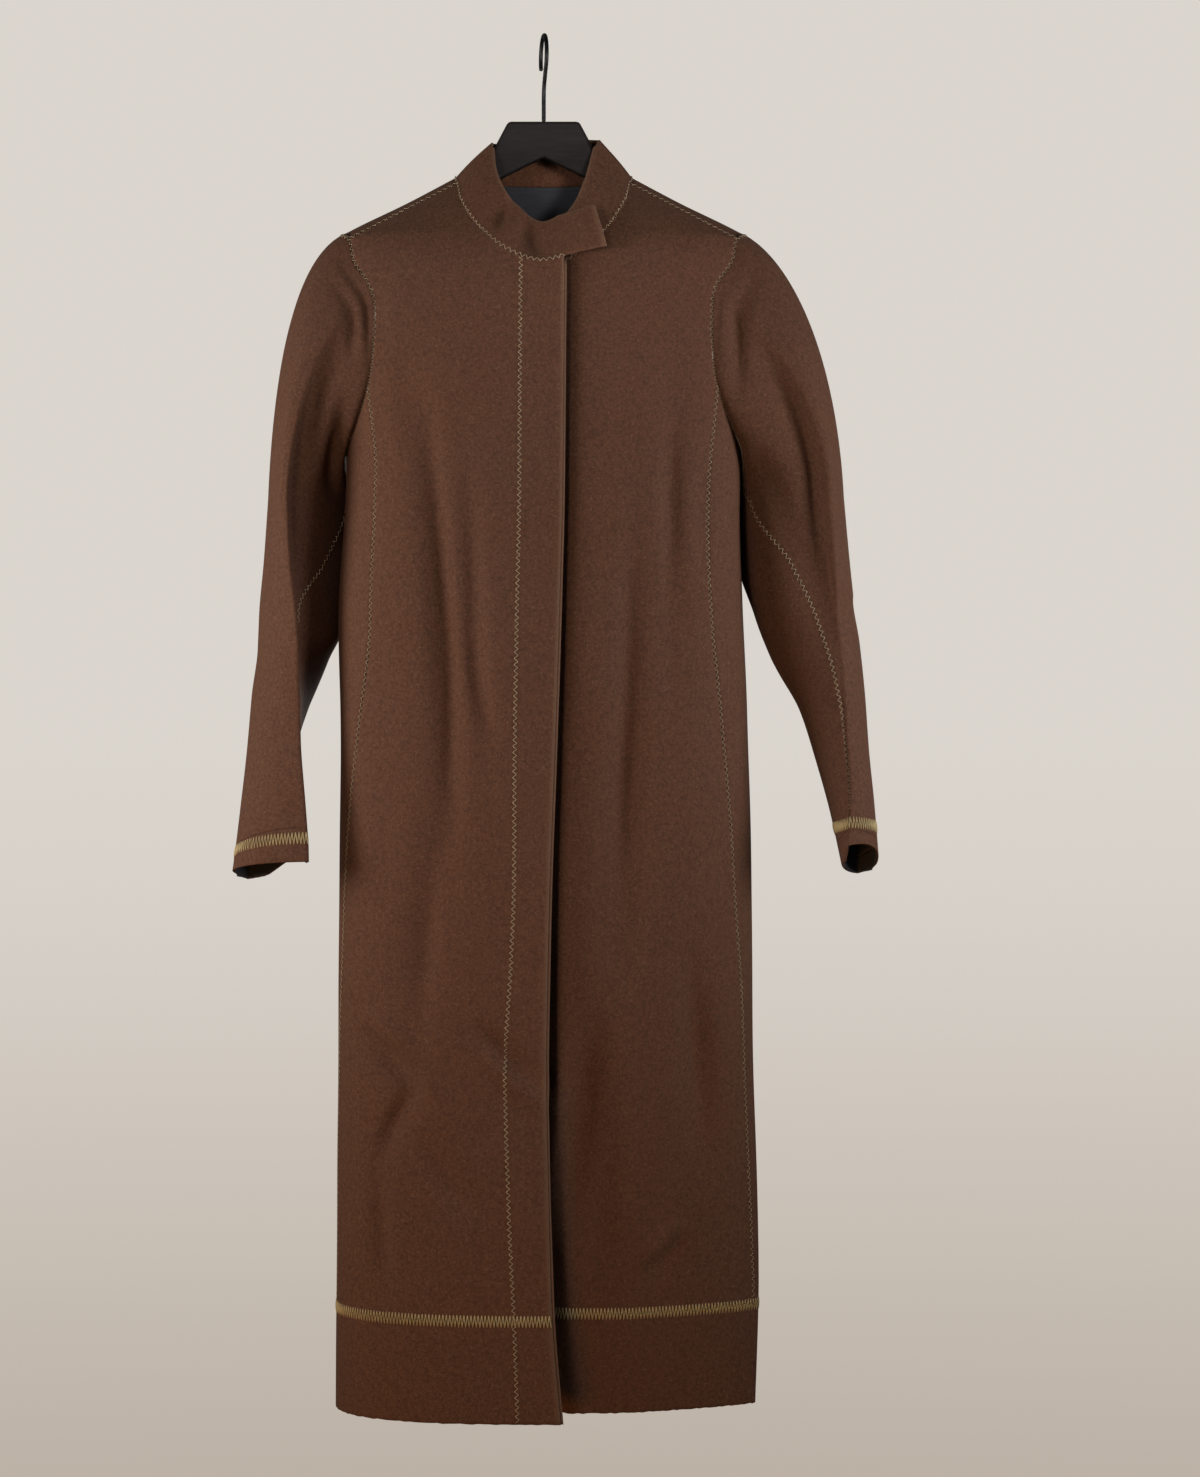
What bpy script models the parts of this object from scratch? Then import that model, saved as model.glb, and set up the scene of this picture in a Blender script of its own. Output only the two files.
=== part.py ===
"""A long riding coat of felted wool, hung on a flat wooden hanger with a wire hook.

Metres, +Z up. The coat faces -Y and its own right side is on -X. The origin is the seat inside the
hook's crook, where it lies on a rail. Every table is in millimetres and degrees.
"""
import bmesh
import bpy
import numpy as np

MM = 0.001
WALL = 2.0                # one layer of felted wool
COLLAR_WALL = 2.6         # collar, two layers bonded
LINING_WALL = 1.0
LABEL_WALL = 0.6
SEAM = 0.15               # each edge keeps this far from the seam line
LAYER_GAP = 0.3           # between layers that lie on each other
LINING_GAP = 0.5
FACING_GAP = 0.8          # a facing that bridges a seam
HEM_Z = -1310.0
HEM_SEAM_Z = -1214.0      # the wide stitch above the hem band
NOTCH_Z = -341.0          # front and back notch of the armhole
NECK_BACK_Z = -134.0      # seam of collar and back
NECK_SIDE = (82.0, -141.5)       # collar, front and back meet here: across, height
NECK_FRONT_Z = -226.0     # lowest point of the front neckline
NECK_POWER = 1.65         # fullness of the neckline's curve
SHOULDER_END = (185.0, -199.0)   # outer end of the shoulder seam
NECK_AXIS_Y = -12.0
UNDERLAP = 25.0           # the left front runs this far past the middle
UNDERLAP_DROP = 8.0       # and lies this far behind the right front
POCKET_Z = (-762.0, -588.0)
POCKET_SLIT = 0.8
CUFF_LENGTH = 23.0
SLEEVE_TOP_Z = -445.0
SLEEVE_SQUARE = 2.3
HOOK_WIRE = 4.0
HOOK_BEND = 18.0          # radius inside the crook
HANGER_THICK = 12.0
RIGHT, LEFT = -1.0, 1.0   # side of the wearer, as the sign of X


def table(columns, *rows):
    """The named columns of a table, each as an array."""
    return {name: np.array(values, float) for name, values in zip(columns.split(), zip(*rows))}


BODY = table(
    "z half_width shift back square front_right square_right front_left square_left",
    (-1310, 201, 2, 82, 2.50, 92, 2.50, 60, 1.25),
    (-1180, 202, 4, 82, 2.45, 94, 2.45, 71, 1.45),
    (-1020, 199.5, 3, 83, 2.42, 97, 2.42, 83, 1.75),
    (-840, 198, 2, 84, 2.38, 99, 2.38, 92, 2.05),
    (-650, 195.5, 0, 85, 2.35, 101, 2.35, 98, 2.27),
    (-540, 193, -3, 86, 2.32, 103, 2.32, 102, 2.31),
    (-445, 189, -1, 87, 2.30, 104, 2.30, 104, 2.30),
    (-400, 189, 0, 86, 2.28, 103, 2.28, 103, 2.28),
    (-341, 191, 0, 83, 2.25, 99, 2.25, 99, 2.25),
    (-300, 194, 0, 80, 2.22, 94, 2.22, 94, 2.22),
    (-250, 197, 0, 75, 2.17, 86, 2.17, 86, 2.17),
    (-215, 207, 0, 70, 2.12, 76, 2.12, 76, 2.12),
    (-199, 206.5, 0, 67, 2.10, 68, 2.10, 68, 2.10),
    (-187, 186.5, 0, 65, 2.08, 60, 2.08, 60, 2.08),
    (-160, 132, 0, 59, 2.03, 42, 2.03, 42, 2.03),
    (-134, 83.5, 0, 50, 2.00, 20, 2.00, 20, 2.00),
)
FOLDS = table(
    "face z_top z_low across_top across_mid across_low width depth",
    (1, -300, -900, -118, -88, -98, 15, -6.5),
    (1, -380, -780, -73, -61, -48, 12, -3.5),
    (1, -380, -960, 91, 84, 74, 14, -4.5),
    (1, -360, -540, 121, 125, 128, 11, -4.5),
    (1, -930, -1220, 63, 58, 50, 17, -5.0),
    (1, -900, -1110, 134, 138, 136, 16, -4.5),
    (1, -860, -1080, -118, -105, -96, 20, 3.0),
    (-1, -330, -900, -80, -68, -72, 16, -5.0),
    (-1, -420, -1060, 46, 52, 44, 15, -4.5),
    (-1, -340, -620, 112, 106, 100, 13, -4.0),
    (-1, -820, -1230, -22, -30, -34, 18, -4.0),
)
ARMHOLE = table(
    "around angle z",
    (-180, 0, -400),
    (-152, -20, -383),
    (-125, -32, -341),
    (-100, -35, -302),
    (-75, -35, -262),
    (-48, -29, -222),
    (-22, -16, -199),
    (0, 0, -190),
    (24, 28.5, -199),
    (42, 31.8, -222),
    (57, 35.6, -241),
    (72, 37.7, -262),
    (90, 37.7, -288),
    (108, 36.6, -315),
    (126, 33.6, -341),
    (153, 20, -383),
    (180, 0, -400),
)
HOLE_FRONT = np.linspace(126, 24, 8)      # points that pieces share along the armhole
HOLE_SIDE = np.linspace(126, 235, 9)
HOLE_BACK = np.array([-125, -100, -75, -50, -28, -13, 0, 12, 24.0])
LOW_ROWS = 16             # rows of a panel from the wide stitch up to the armhole
NECK_COLUMNS, SHOULDER_COLUMNS, BACK_COLUMNS = 11, 7, 23
FRONT_SEAMS = table(
    "z right left",
    (-1310, 200, 197.5),
    (-1202, 200.3, 196.4),
    (-1067, 198, 191.4),
    (-923, 194, 187),
    (-827, 190, 180),
    (-755, 185, 176),
    (-650, 171, 168),
    (-559, 158, 161),
    (-424, 155.5, 158),
    (-341, 164.5, 164.5),
)
BACK_SEAM = table("z angle", (-1310, -22), (-900, -28), (-650, -34), (-450, -36), (-341, -32))
FRONT_EDGE = table(
    "z across stitch",
    (-1310, 17.5, -22.5),
    (-1211, 9.5, -26),
    (-1115, 6.5, -30.5),
    (-981, 4, -34),
    (-880, 5.5, -28.5),
    (-799, 7.5, -25.5),
    (-693, 11.5, -25),
    (-540, 16.5, -22.5),
    (-440, 19, -20.5),
    (-226, 20.5, -20),
)
SLEEVE_RIGHT = table(
    "z across y thick deep turn wedge",
    (-795, 254.5, -51, 22, 51, 37, 0.1),
    (-745, 256.5, -29, 22.5, 53, 27, 0.1),
    (-690, 257.5, -12, 23, 55, 16, 0.1),
    (-640, 255, 1, 24, 57, 8, 0.05),
    (-590, 243, 6, 31.5, 60, 4, 0),
    (-540, 235, 4, 36.5, 62, 0, 0),
    (-445, 227, 0, 35, 64, 0, 0),
)
SLEEVE_LEFT = table(
    "z across y thick deep turn wedge",
    (-790, 299.5, -54, 15.5, 49, -10, 0.35),
    (-740, 295, -36, 17.5, 52, -9, 0.3),
    (-690, 287.5, -19, 19.5, 54, -9, 0.2),
    (-640, 279, -5, 23.5, 57, -13, 0.1),
    (-590, 266, 3, 31.5, 59, -21, 0.05),
    (-540, 248, 4, 41, 60, -30, 0),
    (-445, 238.5, 0, 41.5, 62, -28, 0),
)
SLEEVE_FOLDS = table(
    "side start end around_start around_mid around_end width depth",
    (-1, 0.30, 1.45, 44, 50, 62, 13, -11),
    (-1, 0.55, 1.25, 92, 88, 82, 15, 4),
    (-1, 1.20, 1.62, 150, 128, 110, 14, -5),
    (1, 0.30, 1.40, 36, 42, 60, 13, -10),
    (1, 0.15, 0.85, 82, 86, 92, 12, -5),
    (1, 1.15, 1.60, 140, 122, 104, 14, -5),
)
SLEEVE_SEAMS = table(
    "along front back",
    (0, 153.25, -125),
    (1, 156, -118),
    (1.15, 139, -116),
    (1.3, 121, -114),
    (1.5, 104, -112),
    (2, 98, -110),
)
COLLAR = table(
    "share rise lean",
    (0.00, 38, 19),
    (0.09, 40, 22),
    (0.14, 42, 25),
    (0.36, 33, 35),
    (0.56, 44, 16),
    (0.77, 33, 36),
    (1.00, 41, 25),
)
TAB_END = (60.0, -79.5, -213.0)
HANGER_OUTLINE = table(
    "across z",
    (0, -81),
    (34, -81),
    (48, -107.5),
    (57, -124),
    (176, -186.2),
    (183, -192),
    (183, -201),
    (176, -205.5),
    (48, -138.5),
    (0, -115),
)


def smooth(xs, ys, x):
    """A smooth curve through the points (xs, ys), xs rising, that never overshoots them."""
    x = np.clip(np.asarray(x, float), xs[0], xs[-1])
    step = np.diff(xs)
    slope = np.diff(ys) / step
    product = slope[1:] * slope[:-1]
    total = slope[1:] + slope[:-1]
    inner = np.where(product > 0, 2 * product / np.where(total == 0, 1, total), 0)
    tangent = np.concatenate([slope[:1], inner, slope[-1:]])
    i = np.clip(np.searchsorted(xs, x, side="right") - 1, 0, len(step) - 1)
    u = (x - xs[i]) / step[i]
    rise = u * u * (3 - 2 * u)
    return (
        ys[i] * (1 - rise)
        + ys[i + 1] * rise
        + step[i] * u * (1 - u) * ((1 - u) * tangent[i] - u * tangent[i + 1])
    )


def mix(a, b, share):
    """The value a given share of the way from a to b."""
    return a + (b - a) * share


def ease(low, high, x):
    """0 below low, 1 above high, with a soft step between."""
    u = np.clip((x - low) / (high - low), 0, 1)
    return u * u * (3 - 2 * u)


def bump(low, high, x):
    """A soft swell, 0 at low and high and 1 in the middle."""
    return np.sin(np.pi * np.clip((x - low) / (high - low), 0, 1)) ** 1.4


def unit(v):
    """Vectors of length one."""
    return v / np.linalg.norm(v, axis=-1, keepdims=True)


def fold_line(start, middle, end, share):
    """Where a fold lies, from its start by its middle to its end."""
    ends = start * (1 - share) * (1 - 2 * share) + end * share * (2 * share - 1)
    return ends + middle * 4 * share * (1 - share)


def body_at(name, z):
    """A column of the body table at height z."""
    return smooth(BODY["z"], BODY[name], z)


def front_at(side, z):
    """Depth and squareness of one front at height z."""
    name = "right" if side < 0 else "left"
    return body_at(f"front_{name}", z), body_at(f"square_{name}", z)


def body(theta, z, side=RIGHT):
    """The coat's outside, theta running round it from the left side (0) by that side's front (90)."""
    theta, z = np.broadcast_arrays(np.asarray(theta, float), np.asarray(z, float))
    cos, sin = np.cos(np.radians(theta)), np.sin(np.radians(theta))
    front, front_square = front_at(side, z)
    depth = np.where(sin > 0, front, body_at("back", z))
    square = np.where(sin > 0, front_square, body_at("square", z))
    k = (np.abs(cos) ** square + np.abs(sin) ** square) ** (-1 / square)
    wide = body_at("half_width", z)
    across = wide * cos * k
    out = unit(np.stack([np.sign(cos) * np.abs(cos * k) ** (square - 1) / wide,
                         -np.sign(sin) * np.abs(sin * k) ** (square - 1) / depth], -1))
    push = np.zeros_like(z)
    for i, face in enumerate(FOLDS["face"]):
        low, top = FOLDS["z_low"][i], FOLDS["z_top"][i]
        line = fold_line(FOLDS["across_top"][i], FOLDS["across_mid"][i], FOLDS["across_low"][i],
                         np.clip((z - top) / (low - top), 0, 1))
        near = np.exp(-(((across - line) / FOLDS["width"][i]) ** 2))
        push += np.where(sin * face > 0, 1, 0) * FOLDS["depth"][i] * near * bump(low, top, z)
    x = body_at("shift", z) + across + push * out[..., 0]
    y = -depth * sin * k + push * out[..., 1]
    return np.stack([x, y, z], -1)


def facing(surface, u, v, du, dv):
    """The outward direction of a surface at (u, v)."""
    along_u = surface(u + du, v) - surface(u - du, v)
    along_v = surface(u, v + dv) - surface(u, v - dv)
    return unit(np.cross(along_u, along_v))


def body_out(theta, z, side=RIGHT):
    """The direction out of the coat's side."""
    return -facing(lambda u, v: body(u, v, side), theta, z, 0.2, 0.4)


def angle_of(across, z, side=RIGHT):
    """The angle from the side, by the front, of a point that far out from the middle."""
    part = np.clip(across / body_at("half_width", z), -0.9999, 0.9999)
    square = front_at(side, z)[1]
    return np.degrees(np.arctan2((1 - np.abs(part) ** square) ** (1 / square), part))


def turned(side, angle):
    """An angle from one side of the coat as an angle round the whole coat."""
    return angle if side > 0 else 180 - angle


def armhole(around):
    """Angle and height of the armhole's edge; around runs from the shoulder by the front."""
    return (smooth(ARMHOLE["around"], ARMHOLE["angle"], around),
            smooth(ARMHOLE["around"], ARMHOLE["z"], around))


def front_seam(side, z):
    """Angle of the seam between a front and its side panel."""
    name = "right" if side < 0 else "left"
    return angle_of(smooth(FRONT_SEAMS["z"], FRONT_SEAMS[name], z), z, side)


def back_seam(z):
    """Angle of the seam between a side panel and the back."""
    return smooth(BACK_SEAM["z"], BACK_SEAM["angle"], z)


def front_edge(side, z):
    """How far the centre edge of a front lies from the middle, out to its own side."""
    if side > 0:
        return np.full_like(np.asarray(z, float), -UNDERLAP)
    return body_at("shift", z) - smooth(FRONT_EDGE["z"], FRONT_EDGE["across"], z)


def neckline(across):
    """Height of the front neckline that far out from the middle."""
    part = np.clip(np.abs(across) / NECK_SIDE[0], 0, 1)
    return NECK_SIDE[1] - (NECK_SIDE[1] - NECK_FRONT_Z) * (1 - part ** NECK_POWER) ** (1 / NECK_POWER)


def underlap(side, points):
    """How far a front lies behind the outside of the coat."""
    if side < 0:
        return np.zeros(points.shape[:-1])
    return UNDERLAP_DROP * (1 - ease(24, 92, points[..., 0])) * ease(-150, -190, points[..., 2])


def wall(name, outer, inner, ring=False):
    """A closed wall between two grids of points; a ring joins its last column to its first."""
    rows, cols = outer.shape[:2]
    count = rows * cols
    spans = cols if ring else cols - 1
    faces = []
    for i in range(rows - 1):
        for j in range(spans):
            k = (j + 1) % cols
            quad = (i * cols + j, i * cols + k, (i + 1) * cols + k, (i + 1) * cols + j)
            faces.append(quad)
            faces.append(tuple(count + v for v in reversed(quad)))
    rim = [(j, (j + 1) % cols) for j in range(spans)]
    rim += [((rows - 1) * cols + (j + 1) % cols, (rows - 1) * cols + j) for j in range(spans)]
    if not ring:
        rim += [((i + 1) * cols, i * cols) for i in range(rows - 1)]
        rim += [(i * cols + cols - 1, (i + 1) * cols + cols - 1) for i in range(rows - 1)]
    faces += [(b, a, count + a, count + b) for a, b in rim]
    points = np.concatenate([outer.reshape(-1, 3), inner.reshape(-1, 3)]) * MM
    mesh = bpy.data.meshes.new(name)
    mesh.from_pydata(points.tolist(), [], faces)
    shape = bmesh.new()
    shape.from_mesh(mesh)
    bmesh.ops.triangulate(shape, faces=shape.faces, quad_method="SHORT_EDGE")
    if shape.calc_volume(signed=True) < 0:
        bmesh.ops.reverse_faces(shape, faces=shape.faces)
    shape.to_mesh(mesh)
    shape.free()
    return bpy.data.objects.new(name, mesh)


def body_wall(name, theta, z, inset=0.0, thick=WALL, side=RIGHT):
    """A wall on the coat's outside, moved in by an inset."""
    out = body_out(theta, z, side)
    outer = body(theta, z, side) - np.asarray(inset)[..., None] * out
    return wall(name, outer, outer - thick * out)


def front_grid(side):
    """Angles and heights over a front: columns from its centre edge out to its side."""
    low_z = np.linspace(HEM_SEAM_Z + SEAM, NOTCH_Z, LOW_ROWS)[:, None]
    edge = angle_of(front_edge(side, low_z), low_z, side)
    seam = front_seam(side, low_z)
    at_neck = (edge[-1, 0] - angle_of(NECK_SIDE[0], NOTCH_Z)) / (edge[-1, 0] - seam[-1, 0])
    to_neck = np.linspace(0, at_neck, NECK_COLUMNS)
    share = np.concatenate([to_neck, np.linspace(at_neck, 1, SHOULDER_COLUMNS)[1:]])
    share[-1] -= SEAM / 190
    slit = POCKET_SLIT * ease(-770, -755, low_z) * (1 - ease(-595, -580, low_z))
    low = mix(edge, seam, share) + ease(0.97, 1, share) * np.degrees(slit / 180)
    notch_across = across_of(low[-1], NOTCH_Z)
    top_points = [front_edge(side, NECK_FRONT_Z), NECK_SIDE[0], SHOULDER_END[0]]
    top_across = np.interp(share, [0, at_neck, 1], top_points)
    along_shoulder = (top_across - NECK_SIDE[0]) / (SHOULDER_END[0] - NECK_SIDE[0])
    seam_z = mix(NECK_SIDE[1], SHOULDER_END[1], along_shoulder)
    top_z = np.where(top_across < NECK_SIDE[0], neckline(top_across), seam_z) - SEAM
    hole_angle, hole_z = (v[1:, None] for v in armhole(HOLE_FRONT))
    up = (hole_z - NOTCH_Z) / (SHOULDER_END[1] - NOTCH_Z)
    high_z = mix(NOTCH_Z, top_z, up)
    bow = across_of(hole_angle, hole_z) - mix(notch_across[-1], SHOULDER_END[0], up)
    high = angle_of(mix(notch_across, top_across, up) + bow * share ** 3, high_z)
    z = np.concatenate([np.broadcast_to(low_z, low.shape), high_z])
    return turned(side, np.concatenate([low, high])), z


def across_of(angle, z):
    """How far out from the middle the point at an angle lies."""
    cos, sin = np.cos(np.radians(angle)), np.sin(np.radians(angle))
    square = body_at("square", z)
    return body_at("half_width", z) * cos * (np.abs(cos) ** square + np.abs(sin) ** square) ** (-1 / square)


def side_grid(side):
    """Angles and heights over a side panel, up to the lower part of the armhole."""
    share = np.linspace(0, 1, len(HOLE_SIDE))
    top_angle, top_z = armhole(np.where(HOLE_SIDE > 180, HOLE_SIDE - 360, HOLE_SIDE))
    up = np.linspace(0, 1, LOW_ROWS)[:, None]
    z = mix(HEM_SEAM_Z + SEAM, top_z - SEAM, up)
    trimmed = mix(SEAM / 130, 1 - SEAM / 130, share)
    angle = mix(front_seam(side, z), back_seam(z), trimmed)
    slide = top_angle - mix(front_seam(side, top_z), back_seam(top_z), share)
    return turned(side, angle + slide * up ** 4), z


def back_edge():
    """Angle and height up one edge of the back: seam, armhole, over the shoulder, neck."""
    low_z = np.linspace(HEM_SEAM_Z + SEAM, NOTCH_Z, LOW_ROWS)
    hole_angle, hole_z = armhole(HOLE_BACK[1:])
    up = np.linspace(0, 1, SHOULDER_COLUMNS)[1:]
    seam_z = mix(SHOULDER_END[1], NECK_SIDE[1], up)
    seam_angle = angle_of(mix(SHOULDER_END[0], NECK_SIDE[0], up), seam_z)
    angle = np.concatenate([back_seam(low_z), hole_angle, seam_angle])
    behind_hole = [-302, -262, -226, -207, -198, -191, -186, -182]
    middle = np.concatenate([low_z, behind_hole, mix(behind_hole[-1], NECK_BACK_Z, up)])
    return angle, np.concatenate([low_z, hole_z, seam_z]), middle


def back_grid():
    """Angles and heights over the back, rows bending forward over the shoulders."""
    angle, edge_z, middle = (v[:, None] for v in back_edge())
    even = np.linspace(0, 1, BACK_COLUMNS)
    share = mix(0.5 - 0.5 * np.cos(np.pi * even), even, 0.55)
    share = mix(SEAM / 330, 1 - SEAM / 330, share)
    theta = mix(angle, -180 - angle, share)
    pull = np.clip(1 - np.minimum(share, 1 - share) / 0.16, 0, 1) ** 2
    z = mix(middle, edge_z, pull)
    z[-1] -= SEAM
    return theta, z


def neck_line():
    """The neckline seam, from the right front edge by the back to the left front."""
    theta, z = back_grid()
    parts = []
    for side in (RIGHT, LEFT):
        across = np.linspace(front_edge(side, NECK_FRONT_Z), NECK_SIDE[0], NECK_COLUMNS)
        height = neckline(across)
        angle = turned(side, angle_of(across, height))
        points = body(angle, height)
        parts.append(points - underlap(side, points)[:, None] * body_out(angle, height))
    return np.concatenate([parts[0], body(theta[-1], z[-1])[-2:0:-1], parts[1][:0:-1]])


def collar():
    """The stand collar: a band that leans in from the neckline, with the tab past its right end."""
    line = neck_line()
    tab = mix(np.array(TAB_END), line[0], np.linspace(0, 1, 6)[:-1, None])
    base = np.concatenate([tab, line])
    length = np.concatenate([[0], np.cumsum(np.linalg.norm(np.diff(base, axis=0), axis=1))])
    share = length / length[-1]
    rise = smooth(COLLAR["share"], COLLAR["rise"], share)
    lean = smooth(COLLAR["share"], COLLAR["lean"], share)
    inward = np.stack([-base[:, 0], NECK_AXIS_Y - base[:, 1]], -1)
    inward = unit(np.where(share[:, None] < 0.14, np.array([[-0.3, 1.0]]), inward))
    up = np.linspace(0.012, 1, 5)[:, None]
    bow = 1.6 * np.sin(np.pi * up)
    outer = np.stack([base[:, 0] + (lean * up - bow) * inward[:, 0],
                      base[:, 1] + (lean * up - bow) * inward[:, 1],
                      base[:, 2] + rise * up], -1)
    out = unit(np.cross(np.gradient(outer, axis=0), np.gradient(outer, axis=1)))
    return wall("collar", outer, outer - COLLAR_WALL * out)


def sleeve_table(side):
    """The section table of one sleeve."""
    return SLEEVE_RIGHT if side < 0 else SLEEVE_LEFT


def sleeve_axis(side, z):
    """The middle of a sleeve at height z."""
    rows = sleeve_table(side)
    across = smooth(rows["z"], rows["across"], z)
    return np.stack([side * across, smooth(rows["z"], rows["y"], z), z], -1)


def sleeve_ring(side, around, z):
    """The tube of a sleeve; around runs from its outer side (0) by the front (90)."""
    rows = sleeve_table(side)
    down = unit(sleeve_axis(side, z - 6) - sleeve_axis(side, z + 6))
    outward = np.array([side, 0.0, 0.0])
    e1 = unit(outward - (down @ outward)[..., None] * down)
    e2 = side * np.cross(down, e1)
    turn = np.radians(smooth(rows["z"], rows["turn"], z))[..., None]
    axis1 = np.cos(turn) * e1 + np.sin(turn) * e2
    axis2 = np.cos(turn) * e2 - np.sin(turn) * e1
    angle = np.radians(around - rows["turn"][-1])
    cos, sin = np.cos(angle), np.sin(angle)
    k = (np.abs(cos) ** SLEEVE_SQUARE + np.abs(sin) ** SLEEVE_SQUARE) ** (-1 / SLEEVE_SQUARE)
    wedge = 1 + smooth(rows["z"], rows["wedge"], z) * sin
    thick = smooth(rows["z"], rows["thick"], z) * cos * k * wedge
    deep = smooth(rows["z"], rows["deep"], z) * sin * k
    return sleeve_axis(side, z) + thick[..., None] * axis1 + deep[..., None] * axis2


def sleeve_cap(side, around, up):
    """The head of a sleeve, a soft curve from the armhole (0) to the tube's top ring (1)."""
    angle, height = armhole(around)
    start = body(turned(side, angle), height)
    end = sleeve_ring(side, around, np.full_like(around, SLEEVE_TOP_Z))
    cos, sin = np.cos(np.radians(around)), np.sin(np.radians(around))
    leave = unit(np.stack([side * (0.68 + 0.22 * cos), -0.22 * sin, -(0.62 - 0.12 * cos)], -1))
    start = start + 2.6 * SEAM * leave
    down = unit(sleeve_axis(side, np.full_like(around, SLEEVE_TOP_Z - 6))
                - sleeve_axis(side, np.full_like(around, SLEEVE_TOP_Z + 6)))
    far = np.linalg.norm(end - start, axis=-1)[..., None]
    a = start + leave * far * (0.21 - 0.02 * cos[..., None])
    b = end - down * far * (0.44 + 0.07 * cos[..., None])
    u = up[..., None]
    return start * (1 - u) ** 3 + 3 * a * u * (1 - u) ** 2 + 3 * b * u * u * (1 - u) + end * u ** 3


def sleeve_bare(side, around, along):
    """A sleeve without folds: along is 0 at the armhole, 1 at the tube's top, 2 at the cuff's end."""
    around, along = np.broadcast_arrays(np.asarray(around, float), np.asarray(along, float))
    around = (around + 180) % 360 - 180
    cap = sleeve_cap(side, around, np.clip(along, 0, 1))
    tube_z = mix(SLEEVE_TOP_Z, sleeve_table(side)["z"][0], np.clip(along, 1, 2) - 1)
    tube = sleeve_ring(side, around, tube_z)
    return np.where(along[..., None] < 1, cap, tube)


def sleeve_out(side, around, along, surface):
    """The direction out of a sleeve's side."""
    along = np.clip(along, 0.004, 1.996)
    return side * facing(lambda u, v: surface(side, u, v), around, along, 0.5, 0.003)


def sleeve(side, around, along):
    """A sleeve's outside with its long folds."""
    around, along = np.broadcast_arrays(np.asarray(around, float), np.asarray(along, float))
    push = np.zeros_like(along)
    for i in range(len(SLEEVE_FOLDS["side"])):
        if SLEEVE_FOLDS["side"][i] != side:
            continue
        start, end = SLEEVE_FOLDS["start"][i], SLEEVE_FOLDS["end"][i]
        line = fold_line(SLEEVE_FOLDS["around_start"][i], SLEEVE_FOLDS["around_mid"][i],
                         SLEEVE_FOLDS["around_end"][i], np.clip((along - start) / (end - start), 0, 1))
        away = (around - line + 180) % 360 - 180
        near = np.exp(-((away / SLEEVE_FOLDS["width"][i]) ** 2))
        push += SLEEVE_FOLDS["depth"][i] * near * bump(start, end, along)
    out = sleeve_out(side, around, along, sleeve_bare)
    return sleeve_bare(side, around, along) + push[..., None] * out


def sleeve_wall(name, side, around, along, ring=False, head=None):
    """A wall on a sleeve's outside, its head turned like the body's edge at the armhole."""
    out = sleeve_out(side, around, along, sleeve)
    outer = sleeve(side, around, along)
    if head is not None:
        angle, height = armhole((head + 180) % 360 - 180)
        own = ease(60, 120, np.abs((head + 180) % 360 - 180))[:, None]
        out[0] = unit(mix(body_out(turned(side, angle), height), out[0], own))
    inner = outer - WALL * out
    if head is not None:
        between = ~np.isin(head, np.concatenate([HOLE_FRONT, HOLE_SIDE, HOLE_BACK]))
        for edge in (outer[0], inner[0]):
            edge[between] = (edge[np.roll(between, -1)] + edge[np.roll(between, 1)]) / 2
    return wall(name, outer, inner, ring)


def filled(steps):
    """A row of values with one more in the middle of each wide step."""
    wide = np.diff(steps) > 14
    return np.sort(np.concatenate([steps, ((steps[:-1] + steps[1:]) / 2)[wide]]))


def sleeve_parts(side):
    """Upper sleeve, under sleeve and cuff of one arm."""
    name = "right" if side < 0 else "left"
    cuff_start = 2 - CUFF_LENGTH / 360
    tube = np.linspace(1, cuff_start - SEAM / 360, 10)
    along = np.concatenate([np.linspace(0, 1, 8)[:-1], tube])[:, None]
    front = smooth(SLEEVE_SEAMS["along"], SLEEVE_SEAMS["front"], along)
    back = smooth(SLEEVE_SEAMS["along"], SLEEVE_SEAMS["back"], along)
    upper = filled(np.concatenate([HOLE_BACK, HOLE_FRONT[-2::-1], HOLE_SIDE[1:3]]))
    share = mix(0.0006, 0.9994, (upper - upper[0]) / (upper[-1] - upper[0]))
    yield sleeve_wall(f"sleeve_{name}_upper", side, mix(back, front, share), along, head=upper)
    under = HOLE_SIDE[2:]
    share = mix(0.0012, 0.9988, (under - under[0]) / (under[-1] - under[0]))
    yield sleeve_wall(f"sleeve_{name}_under", side, mix(front, back + 360, share), along, head=under)
    around = np.linspace(0, 360, 29)[:-1]
    cuff = np.linspace(cuff_start + SEAM / 360, 2, 3)[:, None]
    yield sleeve_wall(f"cuff_{name}", side, around, cuff, ring=True)


def hem_parts():
    """The hem band in three lengths, on the same outside as the panels above it."""
    z = np.linspace(HEM_Z, HEM_SEAM_Z - SEAM, 4)[:, None]
    for side, name in ((RIGHT, "right"), (LEFT, "left")):
        edge = angle_of(front_edge(side, z), z, side)
        share = np.linspace(0, 1 - SEAM / 330, 22)
        theta = turned(side, mix(edge, back_seam(z), share))
        inset = underlap(side, body(theta, z, side))
        yield body_wall(f"hem_{name}", theta, np.broadcast_to(z, theta.shape), inset, side=side)
    share = np.linspace(SEAM / 330, 1 - SEAM / 330, 18)
    theta = mix(back_seam(z), -180 - back_seam(z), share)
    yield body_wall("hem_back", theta, np.broadcast_to(z, theta.shape))


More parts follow.
